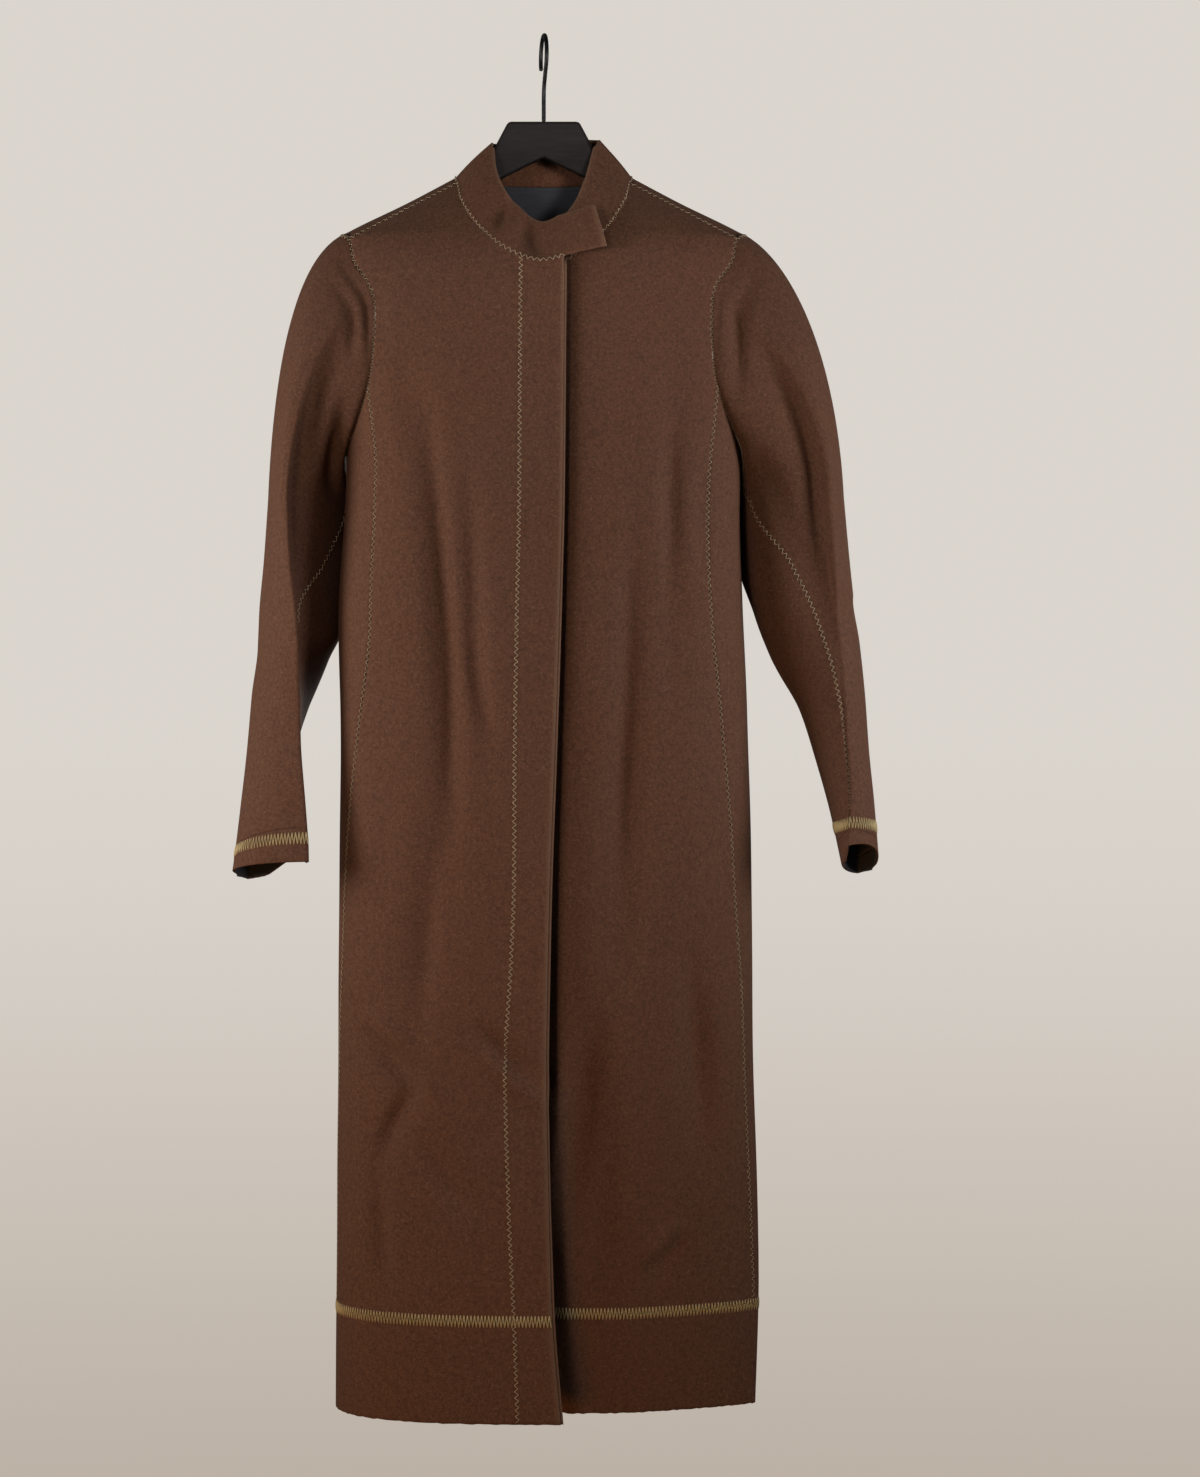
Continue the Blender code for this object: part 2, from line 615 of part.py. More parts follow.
def fly_part():
    """The second layer of the right front's edge, from its stitching to just past the edge."""
    edge_rows = front_grid(RIGHT)[1][1:, 0]
    edge_rows[-1] = NECK_FRONT_Z - 5
    z = np.concatenate([np.linspace(HEM_Z, HEM_SEAM_Z - SEAM, 4), edge_rows])[:, None]
    stitch = smooth(FRONT_EDGE["z"], FRONT_EDGE["stitch"], z)
    edge = smooth(FRONT_EDGE["z"], FRONT_EDGE["across"], z) + 2.5
    across = mix(stitch, edge, np.linspace(0, 1, 4))
    theta = turned(LEFT, angle_of(across - body_at("shift", z), z))
    return body_wall("fly_placket", theta, np.broadcast_to(z, theta.shape), WALL + LAYER_GAP, 1.6)


def pocket_part(side):
    """The facing behind one pocket's slit."""
    name = "right" if side < 0 else "left"
    z = np.linspace(POCKET_Z[0] - 9, POCKET_Z[1] + 9, 8)[:, None]
    theta = turned(side, front_seam(side, z) + np.linspace(-6, 6, 5))
    inset = WALL + FACING_GAP
    return body_wall(f"pocket_facing_{name}", theta, np.broadcast_to(z, theta.shape), inset, 1.2, side)


def neck_parts(theta, z):
    """The lining of the upper back and the blank label on it, on the back's own points."""
    rows, columns = slice(-14, None), slice(6, -6)
    height = np.minimum(z[rows, columns], NECK_BACK_Z - 4)
    yield body_wall("neck_lining", theta[rows, columns], height, WALL + LINING_GAP, LINING_WALL)
    rows, columns = slice(-6, -2), slice(10, -10)
    inset = WALL + LINING_WALL + 2 * LINING_GAP
    yield body_wall("neck_label", theta[rows, columns], z[rows, columns], inset, LABEL_WALL)


def hanger_part():
    """The flat wooden hanger, its outline cut from board and its edges rounded over."""
    across, height = HANGER_OUTLINE["across"], HANGER_OUTLINE["z"]
    points = list(zip(across, height)) + list(zip(-across[-2:0:-1], height[-2:0:-1]))
    mesh = bpy.data.meshes.new("hanger")
    shape = bmesh.new()
    face = shape.faces.new([shape.verts.new((x * MM, -HANGER_THICK / 2 * MM, z * MM)) for x, z in points])
    grown = bmesh.ops.extrude_face_region(shape, geom=[face])
    moved = [v for v in grown["geom"] if isinstance(v, bmesh.types.BMVert)]
    bmesh.ops.translate(shape, verts=moved, vec=(0, HANGER_THICK * MM, 0))
    shape.faces.ensure_lookup_table()
    bmesh.ops.recalc_face_normals(shape, faces=shape.faces)
    shape.to_mesh(mesh)
    shape.free()
    board = bpy.data.objects.new("hanger", mesh)
    soft = board.modifiers.new("edges", "BEVEL")
    soft.width = 3 * MM
    soft.segments = 2
    soft.limit_method = "ANGLE"
    soft.angle_limit = np.radians(60)
    return board


def hook_part():
    """The wire hook: a stem that bows forward, rounds the rail and ends behind it."""
    bend = HOOK_BEND + HOOK_WIRE / 2
    middle = -HOOK_BEND
    turn = np.radians(np.linspace(228, -28, 22))
    arc = np.stack([bend * np.cos(turn), middle + bend * np.sin(turn)], -1)
    stem = np.array([[0, -80.6], [0, -70], [0, -60], [-0.6, -53], [-3, -46.5], [-7, -41]])
    path = np.concatenate([stem, arc])
    curve = bpy.data.curves.new("hook", "CURVE")
    curve.dimensions = "3D"
    curve.bevel_depth = HOOK_WIRE / 2 * MM
    curve.bevel_resolution = 2
    curve.use_fill_caps = True
    spline = curve.splines.new("POLY")
    spline.points.add(len(path) - 1)
    for point, (y, z) in zip(spline.points, path):
        point.co = (-0.16 * y * MM, y * MM, z * MM, 1)
    return bpy.data.objects.new("hook", curve)


def material(name, colour, roughness, metallic=0.0):
    """A plain surface for one kind of material."""
    made = bpy.data.materials.new(name)
    made.use_nodes = True
    shader = made.node_tree.nodes["Principled BSDF"]
    shader.inputs["Base Color"].default_value = (*colour, 1)
    shader.inputs["Roughness"].default_value = roughness
    shader.inputs["Metallic"].default_value = metallic
    return made


def main():
    """Build every piece of the coat and its hanger."""
    for old in list(bpy.data.objects):
        bpy.data.objects.remove(old, do_unlink=True)
    coat = bpy.data.collections.new("riding_coat")
    bpy.context.scene.collection.children.link(coat)
    wool = material("wool", (0.105, 0.047, 0.026), 0.9)
    lining = material("lining", (0.016, 0.016, 0.019), 0.5)
    wood = material("wood", (0.022, 0.019, 0.019), 0.4)
    metal = material("metal", (0.018, 0.018, 0.019), 0.35, 1.0)
    pieces = []
    for side, name in ((RIGHT, "right"), (LEFT, "left")):
        theta, z = front_grid(side)
        inset = underlap(side, body(theta, z, side))
        pieces.append((body_wall(f"front_{name}", theta, z, inset, side=side), wool))
        theta, z = side_grid(side)
        pieces.append((body_wall(f"side_{name}", theta, z, side=side), wool))
        pieces.append((pocket_part(side), wool))
        pieces += [(piece, wool) for piece in sleeve_parts(side)]
    theta, z = back_grid()
    pieces.append((body_wall("back", theta, z), wool))
    pieces += [(piece, lining) for piece in neck_parts(theta, z)]
    pieces += [(piece, wool) for piece in hem_parts()]
    pieces += [(fly_part(), wool), (collar(), wool)]
    pieces += [(hanger_part(), wood), (hook_part(), metal)]
    for piece, surface in pieces:
        piece.data.materials.append(surface)
        coat.objects.link(piece)


main()
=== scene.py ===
import bpy
import numpy as np
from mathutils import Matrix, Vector


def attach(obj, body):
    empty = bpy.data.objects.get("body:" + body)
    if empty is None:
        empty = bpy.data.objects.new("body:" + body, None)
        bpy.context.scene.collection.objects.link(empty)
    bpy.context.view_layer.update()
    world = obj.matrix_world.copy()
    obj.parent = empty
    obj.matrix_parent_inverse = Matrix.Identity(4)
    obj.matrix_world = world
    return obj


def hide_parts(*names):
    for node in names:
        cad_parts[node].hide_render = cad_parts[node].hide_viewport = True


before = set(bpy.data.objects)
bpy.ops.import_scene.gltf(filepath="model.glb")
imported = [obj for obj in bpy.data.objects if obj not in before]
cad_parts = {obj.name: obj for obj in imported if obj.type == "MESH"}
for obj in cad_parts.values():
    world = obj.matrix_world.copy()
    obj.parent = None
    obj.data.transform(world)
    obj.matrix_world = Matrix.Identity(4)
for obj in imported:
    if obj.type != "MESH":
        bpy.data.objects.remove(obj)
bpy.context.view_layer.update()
mm = 0.001                   # every size below is in millimetres or degrees
upright = np.array([0.0, 0.0, 1.0])  # times a point, the place on the coat's axis at its height
right, left = -1.0, 1.0      # the wearer's side, as the sign of X
sides = (right, "right"), (left, "left")
print("frame:", len(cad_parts), "nodes")


def columns(names, *rows):  # the named columns of a table, each an array
    return {name: np.array(values, float) for name, values in zip(names.split(), zip(*rows))}


def rowsOf(table):  # the rows of such a table again
    return zip(*table.values())


cloth = {
    "wall": 2.0, "collarWall": 2.6, "liningWall": 1.0, "labelWall": 0.6, "flyWall": 1.6, "facingWall": 1.2,
    "layerGap": 0.3, "liningGap": 0.5, "facingGap": 0.8, "edgeRound": 0.4, "edgeMeet": 0.1,
}
cut = {
    "hemZ": -1310.0, "hemSeamZ": -1214.0, "notchZ": -341.0, "neckBackZ": -134.0, "neckFrontZ": -226.0,
    "neckSide": (82.0, -141.5), "neckPower": 1.65, "shoulderEnd": (185.0, -199.0), "neckAxisY": -12.0,
    "underlap": 25.0, "underlapDrop": 8.0, "underlapFold": 6.0, "pocketZ": (-762.0, -588.0),
    "cuffLength": 23.0, "sleeveTopZ": -445.0, "capLength": 190.0, "tubeLength": 360.0, "sleeveRound": 0.87,
}
(neckX, neckZ), (endX, endZ), notchZ = cut["neckSide"], cut["shoulderEnd"], cut["notchZ"]
drape = {  # where the waves, the creases and the left front's drop fade, and the steps that give slopes
    "waveTurn": 60.0, "waveZ": (-160.0, -260.0), "creaseSin": 0.3,
    "dropX": (24.0, 92.0), "dropZ": (-150.0, -190.0), "foldEdge": (0.0, 15.0), "slopeSteps": (0.3, 0.6),
}
bodyTable = columns(
    "z halfWidth shift back square frontRight frontLeft squareLeft",
    (-1310, 201, 2, 82, 2.50, 92, 60, 1.25),
    (-1180, 202, 4, 82, 2.45, 94, 71, 1.45),
    (-1020, 199.5, 3, 83, 2.42, 97, 83, 1.75),
    (-840, 198, 2, 84, 2.38, 99, 92, 2.05),
    (-650, 195.5, 0, 85, 2.35, 101, 98, 2.27),
    (-540, 193, -3, 86, 2.32, 103, 102, 2.31),
    (-445, 189, -1, 87, 2.30, 104, 104, 2.30),
    (-400, 189, 0, 86, 2.28, 103, 103, 2.28),
    (-341, 191, 0, 83, 2.25, 99, 99, 2.25),
    (-300, 194, 0, 80, 2.22, 94, 94, 2.22),
    (-250, 197, 0, 75, 2.17, 86, 86, 2.17),
    (-215, 207, 0, 70, 2.12, 76, 76, 2.12),
    (-199, 206.5, 0, 67, 2.10, 68, 68, 2.10),
    (-187, 186.5, 0, 65, 2.08, 60, 60, 2.08),
    (-160, 132, 0, 59, 2.03, 42, 42, 2.03),
    (-134, 83.5, 0, 50, 2.00, 20, 20, 2.00),
)
foldTable = columns(  # the long hanging folds, shared with the solids
    "face zTop zLow acrossTop acrossMid acrossLow width depth",
    (1, -300, -900, -118, -88, -98, 15, -6.5),
    (1, -380, -780, -73, -61, -48, 12, -3.5),
    (1, -380, -960, 91, 84, 74, 14, -4.5),
    (1, -360, -540, 121, 125, 128, 11, -4.5),
    (1, -930, -1220, 63, 58, 50, 17, -5.0),
    (1, -900, -1110, 134, 138, 136, 16, -4.5),
    (1, -860, -1080, -118, -105, -96, 20, 3.0),
    (-1, -330, -900, -80, -68, -72, 16, -5.0),
    (-1, -420, -1060, 46, 52, 44, 15, -4.5),
    (-1, -340, -620, 112, 106, 100, 13, -4.0),
    (-1, -820, -1230, -22, -30, -34, 18, -4.0),
)
creaseTable = columns(  # smaller creases, each along a bowed line on the front (1) or back (-1)
    "face fromX fromZ toX toZ bow width depth skew",
    (1, -98, -730, -114, -1000, 4, 15, -8.0, 0.2),
    (1, -121, -290, -85, -800, -9, 14, -9.0, 0.2),
    (1, -74, -370, -62, -680, -4, 14, -6.0, 0.2),
    (1, -76, -530, -34, -730, 3, 12, -5.0, 0),
    (1, 95, -330, 68, -990, 0, 18, -11.0, 0),
    (1, -180, -940, -108, -1010, -4, 9, -9.0, 0.3),
    (1, -110, -984, -158, -1086, 6, 10, -7.0, -0.3),
    (1, -172, -920, -110, -978, -4, 9, 5.5, 0),
    (1, -70, -930, 8, -1002, 0, 9, -6.5, 0.2),
    (1, -66, -952, 10, -1028, 0, 7, 4.6, 0),
    (1, -154, -1056, -143, -1214, 3, 10, -6.5, 0),
    (1, -118, -1026, -50, -1126, 6, 12, -5.5, 0),
    (1, -155, -238, -150, -306, 3, 9, -2.8, 0),
    (1, -128, -290, -120, -420, 3, 10, -2.0, 0),
    (1, -146, -690, -138, -860, 4, 12, -2.0, 0),
    (1, -72, -700, -62, -900, -3, 14, 1.6, 0),
    (1, 122, -270, 116, -740, -4, 17, -8.5, 0.1),
    (1, 153, -370, 150, -560, 0, 11, -4.5, 0),
    (1, 60, -890, 24, -1160, 6, 15, -8.5, 0),
    (1, 131, -840, 158, -1096, -5, 14, -8.0, 0),
    (1, 138, -1120, 86, -1174, 0, 8, 4.2, 0),
    (1, 144, -1136, 92, -1190, 0, 9, -4.2, 0),
    (1, 25, -565, 95, -570, 2, 4, -0.7, 0),
    (1, 50, -880, 160, -868, 3, 5, -0.9, 0),
    (1, 101, -640, 97, -800, 3, 10, 1.5, 0),
    (-1, -150, -262, -104, -420, 6, 14, -3.2, 0.2),
    (-1, 150, -262, 106, -436, -6, 14, -3.2, -0.2),
    (-1, -12, -300, 2, -720, 5, 16, -2.6, 0),
    (-1, -124, -690, -108, -1010, 4, 18, -3.0, 0),
    (-1, 118, -740, 104, -1110, -4, 18, -3.4, 0),
    (-1, 34, -900, 42, -1190, 3, 18, -2.6, 0),
    (-1, -66, -972, -6, -1030, 0, 9, -1.8, 0.3),
    (-1, 70, -610, 130, -640, 3, 8, -1.4, 0),
)
waveTable = columns(  # slow uneven waves, so that no panel is quite flat
    "size across down turn fall slant shift",
    (0.55, 23, 190, 1.3, 83, np.inf, 0.6), (0.45, 37, -140, 2.1, 57, 90, 0),
    (0.30, 14, 64, 0.4, 41, -120, 1.0),
)
armholeTable = columns(
    "around angle z",
    (-180, 0, -400), (-152, -20, -383), (-125, -32, -341), (-100, -35, -302), (-75, -35, -262),
    (-48, -29, -222), (-22, -16, -199), (0, 0, -190), (24, 28.5, -199), (42, 31.8, -222),
    (57, 35.6, -241), (72, 37.7, -262), (90, 37.7, -288), (108, 36.6, -315), (126, 33.6, -341),
    (153, 20, -383), (180, 0, -400),
)
frontSeamTable = columns(
    "z right left",
    (-1310, 200, 197.5), (-1202, 200.3, 196.4), (-1067, 198, 191.4), (-923, 194, 187), (-827, 190, 180),
    (-755, 185, 176), (-650, 171, 168), (-559, 158, 161), (-424, 155.5, 158), (-341, 164.5, 164.5),
)
backSeamTable = columns("z angle", (-1310, -22), (-900, -28), (-650, -34), (-450, -36), (-341, -32))
frontEdgeTable = columns(
    "z across stitch",
    (-1310, 17.5, -22.5), (-1211, 9.5, -26), (-1115, 6.5, -30.5), (-981, 4, -34), (-880, 5.5, -28.5),
    (-799, 7.5, -25.5), (-693, 11.5, -25), (-540, 16.5, -22.5), (-440, 19, -20.5), (-226, 20.5, -20),
)
sleeveColumns = "z across y frontX frontY backX backY outX1 outY1 outX2 outY2 inX1 inY1 inX2 inY2"
sleeveTables = {  # by height: axis, front and back ridge, then two handles of the outer and of the inner arc
    right: columns(
        sleeveColumns,
        (-795, 254.5, -51, 217, -84, 284, -8, 272, -92, 314, -52, 228, -52, 250, -14),
        (-733, 257, -25, 223, -72, 276, 20, 276, -70, 309, -12, 230, -42, 244, 10),
        (-685, 257.4, -10.5, 227, -62, 268, 35, 282, -54, 302, 8, 232, -32, 236, 22),
        (-637, 254.5, 1.5, 228, -58, 262, 50, 284, -44, 297, 24, 228, -26, 208, 35),
        (-590, 243, 6, 229.5, -58, 255, 56, 279, -40, 291, 28, 226, -27, 168, 40),
        (-560, 238, 5, 231, -59, 250, 58, 277, -38, 291, 30, 225, -29, 140, 43),
        (-503, 232, 3, 237, -64, 243, 60, 273, -37, 283, 35, 224, -30, 134, 46),
        (-445, 227, 0, 239, -66, 238, 60, 270, -34, 276, 40, 214, -40, 133, 70),
    ),
    left: columns(
        sleeveColumns,
        (-790, 299.5, -48, 285, -80, 303, 12, 321, -70, 332, -10, 281, -62, 280, 0),
        (-732, 294, -29, 289.7, -66, 299, 26, 317, -56, 327, 6, 272, -55, 258, 10),
        (-684, 286.5, -16, 287.4, -57, 293, 38, 314, -42, 323, 18, 262, -48, 238, 18),
        (-636, 278.3, -4, 285, -52, 285, 45, 312, -34, 321, 24, 250, -45, 214, 20),
        (-588, 265.5, 3, 281.7, -50, 275, 52, 308, -30, 318, 30, 236, -52, 172, 30),
        (-545, 249.5, 4, 278.5, -50, 266, 56, 302, -27, 311, 34, 222, -62, 145, 36),
        (-500, 244, 2.5, 275.5, -50, 257, 58, 297, -25, 307, 38, 214, -70, 122, 64),
        (-445, 238.5, 0, 271, -52, 250, 58, 292, -25, 302, 40, 206, -80, 125, 70),
    ),
}
sleeveFoldTable = columns(  # folds and creases, each along a bowed line round and down a sleeve
    "side fromAround fromAlong toAround toAlong bow width depth skew",
    (-1, 76, 0.14, 80, 1.26, 0, 18, -11.0, 0),
    (-1, 44, 0.20, 57, 1.24, 0, 7, 3.0, 0),
    (-1, 26, 0.08, 108, 0.07, 0, 7, -3.6, 0),
    (-1, 38, 0.16, 96, 0.28, 3, 9, -5.0, 0.2),
    (-1, 112, 0.34, 136, 1.00, 0, 11, -5.5, 0),
    (-1, 96, 0.30, 108, 1.00, 0, 13, 4.5, 0),
    (-1, 20, 1.22, 50, 1.46, 0, 7, -1.6, 0),
    (-1, 0, 1.50, 50, 1.66, 2, 8, -1.4, 0),
    (-1, -60, 0.30, -58, 1.30, 4, 13, -5.0, 0),
    (-1, -120, 1.18, -64, 1.56, 0, 11, -3.5, 0),
    (-1, -100, 1.05, -40, 1.36, 0, 10, -2.5, 0),
    (1, 79, 0.14, 82, 1.50, 3, 22, -12.0, 0),
    (1, 73, 0.08, 73, 1.30, 0, 11, -8.0, 0),
    (1, 46, 0.24, 58, 1.30, 4, 7, 2.5, 0),
    (1, 34, 0.12, 116, 0.36, 3, 12, -8.0, 0.2),
    (1, 24, 0.06, 110, 0.06, 0, 5, -1.6, 0),
    (1, 134, 0.56, 100, 1.20, 0, 14, -7.0, 0),
    (1, 68, 1.50, 66, 1.98, 0, 3.5, -2.0, 0),
    (1, 73, 1.44, 70, 1.98, 0, 3.5, 1.8, 0),
    (1, 24, 1.20, 50, 1.40, 0, 7, -1.6, 0),
    (1, -58, 0.30, -60, 1.30, -4, 13, -5.0, 0),
    (1, -118, 1.20, -66, 1.56, 0, 11, -3.5, 0),
    (1, -98, 1.02, -42, 1.34, 0, 10, -2.5, 0),
)
sleeveSeamTable = columns(
    "along right left back",
    (0, 153.25, 153.25, -125), (0.8, 168, 160, -119), (1, 164, 147, -118), (1.17, 128, 108, -116),
    (1.32, 70, 90, -114), (1.5, 68, 77, -112), (1.68, 68, 68, -111), (2, 68, 66, -110),
)


def smoothCurve(xs, ys, x):  # cubic between the points, its slopes never overshooting them
    x = np.clip(np.asarray(x, float), xs[0], xs[-1])
    step = np.diff(xs)
    slope = np.diff(ys) / step
    product = slope[1:] * slope[:-1]
    total = slope[1:] + slope[:-1]
    inner = np.where(product > 0, 2 * product / np.where(total == 0, 1, total), 0)
    tangent = np.concatenate([slope[:1], inner, slope[-1:]])
    i = np.clip(np.searchsorted(xs, x, side="right") - 1, 0, len(step) - 1)
    u = (x - xs[i]) / step[i]
    rise = u * u * (3 - 2 * u)
    bend = step[i] * u * (1 - u) * ((1 - u) * tangent[i] - u * tangent[i + 1])
    return ys[i] * (1 - rise) + ys[i + 1] * rise + bend


def mix(a, b, share):  # a + (b - a) * share
    return a + (b - a) * share


def ease(low, high, x):  # 0 below low, 1 above high, a soft step between
    u = np.clip((x - low) / (high - low), 0, 1)
    return u * u * (3 - 2 * u)


def swell(low, high, x):  # half a sine wave from low to high, raised to 1.4
    return np.sin(np.pi * np.clip((x - low) / (high - low), 0, 1)) ** 1.4


def unit(v):  # vectors of length one
    return v / np.linalg.norm(v, axis=-1, keepdims=True)


def cosSin(angle):  # cosine and sine of an angle in degrees
    return np.cos(np.radians(angle)), np.sin(np.radians(angle))


def halfTurns(angle):  # the same angle between -180 and 180
    return (angle + 180) % 360 - 180


def alike(*values):  # numbers as arrays of one shape
    return np.broadcast_arrays(*(np.asarray(value, float) for value in values))


def foldLine(start, middle, end, share):  # the parabola through start, middle and end
    ends = start * (1 - share) * (1 - 2 * share) + end * share * (2 * share - 1)
    return ends + middle * 4 * share * (1 - share)


def tableAt(table, name, x, by="z"):  # one column of a table as a smooth curve of another
    return smoothCurve(table[by], table[name], x)


def bodyAt(name, z):  # a column of the body's table at a height
    return tableAt(bodyTable, name, z)


def frontAt(side, z):  # depth and squareness of one front
    depth, square = ("frontRight", "square") if side < 0 else ("frontLeft", "squareLeft")
    return bodyAt(depth, z), bodyAt(square, z)


def foldPush(across, z, sin):  # sum of depth * bell(distance from the fold's line) * swell down it
    push = np.zeros_like(z)
    for face, top, low, *line, width, depth in rowsOf(foldTable):
        share = np.clip((z - top) / (low - top), 0, 1)
        near = np.exp(-(((across - foldLine(*line, share)) / width) ** 2))
        push += np.where(sin * face > 0, 1, 0) * depth * near * swell(low, top, z)
    return push


# depth * bell across a bowed line * swell along it; skew steepens one flank
def creaseBell(x, z, fromX, fromZ, toX, toZ, bow, width, depth, skew):
    runX, runZ = toX - fromX, toZ - fromZ
    size = np.hypot(runX, runZ)
    along = ((x - fromX) * runX + (z - fromZ) * runZ) / size ** 2
    away = ((x - fromX) * runZ - (z - fromZ) * runX) / size
    share = np.clip(along, 0, 1)
    away = (away - 4 * bow * share * (1 - share)) / width
    away = away / (1 + skew * np.tanh(away))
    return depth * np.exp(-away ** 2) * swell(0, 1, along)


def creasePush(x, z, sin):  # sum of the creases' bells, each on its own face of the coat
    return sum(ease(0, drape["creaseSin"], sin * face) * creaseBell(x, z, *line)
               for face, *line in rowsOf(creaseTable))


def ripple(x, z):  # sum of size * sine(x / across + z / down + turn) * sine(z / fall + x / slant + shift)
    return sum(size * np.sin(x / across + z / down + turn) * np.sin(z / fall + x / slant + shift)
               for size, across, down, turn, fall, slant, shift in rowsOf(waveTable))


def bodyShape(theta, z, side=right):  # superellipse rings by height, pushed in and out by the folds
    theta, z = alike(theta, z)
    cos, sin = cosSin(theta)
    front, frontSquare = frontAt(side, z)
    depth = np.where(sin > 0, front, bodyAt("back", z))
    square = np.where(sin > 0, frontSquare, bodyAt("square", z))
    k = (np.abs(cos) ** square + np.abs(sin) ** square) ** (-1 / square)
    wide = bodyAt("halfWidth", z)
    across = wide * cos * k
    out = unit(np.stack([np.sign(cos) * np.abs(cos * k) ** (square - 1) / wide,
                         -np.sign(sin) * np.abs(sin * k) ** (square - 1) / depth], -1))
    shift = bodyAt("shift", z)
    push = foldPush(across, z, sin) + creasePush(across + shift, z, sin)
    push = push + ripple(across + drape["waveTurn"] * sin, z) * ease(*drape["waveZ"], z)
    return np.stack([shift + across + push * out[..., 0], -depth * sin * k + push * out[..., 1], z], -1)


def facing(surface, u, v, du, dv):  # cross product of the surface's slopes along u and v
    return unit(np.cross(surface(u + du, v) - surface(u - du, v), surface(u, v + dv) - surface(u, v - dv)))


def bodyOut(theta, z, side=right):  # unit normals, from small steps in angle and height
    return -facing(lambda u, v: bodyShape(u, v, side), theta, z, *drape["slopeSteps"])


def angleOf(across, z, side=right):  # angle, from the side by the front, of a point that far from the middle
    part = np.clip(across / bodyAt("halfWidth", z), -0.9999, 0.9999)
    square = frontAt(side, z)[1]
    return np.degrees(np.arctan2((1 - np.abs(part) ** square) ** (1 / square), part))


def acrossOf(angle, z):  # the other way: halfWidth * cosine * the superellipse's radius at that angle
    cos, sin = cosSin(angle)
    square = bodyAt("square", z)
    return bodyAt("halfWidth", z) * cos * (np.abs(cos) ** square + np.abs(sin) ** square) ** (-1 / square)


def turned(side, angle):  # an angle from one side of the coat, as one round the whole coat
    return angle if side > 0 else 180 - angle


def armhole(around):  # angle and height of the armhole's edge
    return [tableAt(armholeTable, name, around, "around") for name in ("angle", "z")]


def frontSeam(side, z):  # the front seam's distance from the middle, as an angle
    return angleOf(tableAt(frontSeamTable, "right" if side < 0 else "left", z), z, side)


def backSeam(z):  # the back seam's angle by height
    return tableAt(backSeamTable, "angle", z)


def frontEdge(side, z):  # how far a front's centre edge lies from the middle, out to its own side
    if side > 0:
        return np.full_like(np.asarray(z, float), -cut["underlap"])
    return bodyAt("shift", z) - tableAt(frontEdgeTable, "across", z)


def neckline(across):  # a superellipse from the shoulder seam down to the front of the neck
    part = np.clip(np.abs(across) / neckX, 0, 1)
    drop = (1 - part ** cut["neckPower"]) ** (1 / cut["neckPower"])
    return neckZ - (neckZ - cut["neckFrontZ"]) * drop


def underlap(side, points):  # a front's drop behind the outside: a wide step and a narrow one by the fly
    if side < 0:
        return np.zeros(points.shape[:-1])
    x, z = points[..., 0], points[..., 2]
    fromEdge = x - tableAt(frontEdgeTable, "across", z)
    wide = cut["underlapDrop"] * (1 - ease(*drape["dropX"], x))
    narrow = cut["underlapFold"] * (1 - ease(*drape["foldEdge"], fromEdge))
    return (wide + narrow) * ease(*drape["dropZ"], z)


# Cloth walls: an outer grid, an inner grid behind it, and a rounded rim between them

def gridQuads(rows, cols, ring):  # the four corner numbers of every square of a grid
    i, j = np.meshgrid(np.arange(rows - 1), np.arange(cols if ring else cols - 1), indexing="ij")
    k = (j + 1) % cols
    return np.stack([i * cols + j, i * cols + k, (i + 1) * cols + k, (i + 1) * cols + j], -1).reshape(-1, 4)


def outward(quads, points, number, away):  # all turned over if the numbered one looks against away
    a, b, c = (points[quads[number, k]] for k in (0, 1, 3))
    return quads[:, ::-1] if np.dot(np.cross(b - a, c - a), away) < 0 else quads


def gridBorders(rows, cols, ring):  # point numbers round a grid's edge
    n = np.arange(rows * cols).reshape(rows, cols)
    if ring:
        return [n[0], n[-1][::-1]]
    return [np.concatenate([n[0, :-1], n[:-1, -1], n[-1, :0:-1], n[:0:-1, 0]])]


def gridOut(points, centre):  # unit normals of a grid, turned away from its centre line
    normal = unit(np.cross(np.gradient(points, axis=1), np.gradient(points, axis=0)))
    return normal * np.sign(np.sum(normal * (points - centre)))


def pullIn(points, size, ring):  # border points step back by size towards their inner neighbours
    moved = points.copy()
    moved[0] += size * unit(points[1] - points[0])
    moved[-1] += size * unit(points[-2] - points[-1])
    if not ring:
        moved[:, 0] += size * unit(points[:, 1] - points[:, 0])
        moved[:, -1] += size * unit(points[:, -2] - points[:, -1])
    return moved


def gridLengths(points):  # arc length along each row and up each column, in metres
    across = np.linalg.norm(np.diff(points, axis=1), axis=-1)
    up = np.linalg.norm(np.diff(points, axis=0), axis=-1)
    u = np.concatenate([np.zeros((len(points), 1)), np.cumsum(across, 1)], 1)
    v = np.concatenate([np.zeros((1, points.shape[1])), np.cumsum(up, 0)], 0)
    u = u - u[:, points.shape[1] // 2][:, None]
    return np.stack([u, v], -1) * mm


def runOf(path):  # distance along a path to each of its points
    return np.concatenate([[0], np.cumsum(np.linalg.norm(np.diff(path, axis=0), axis=1))])


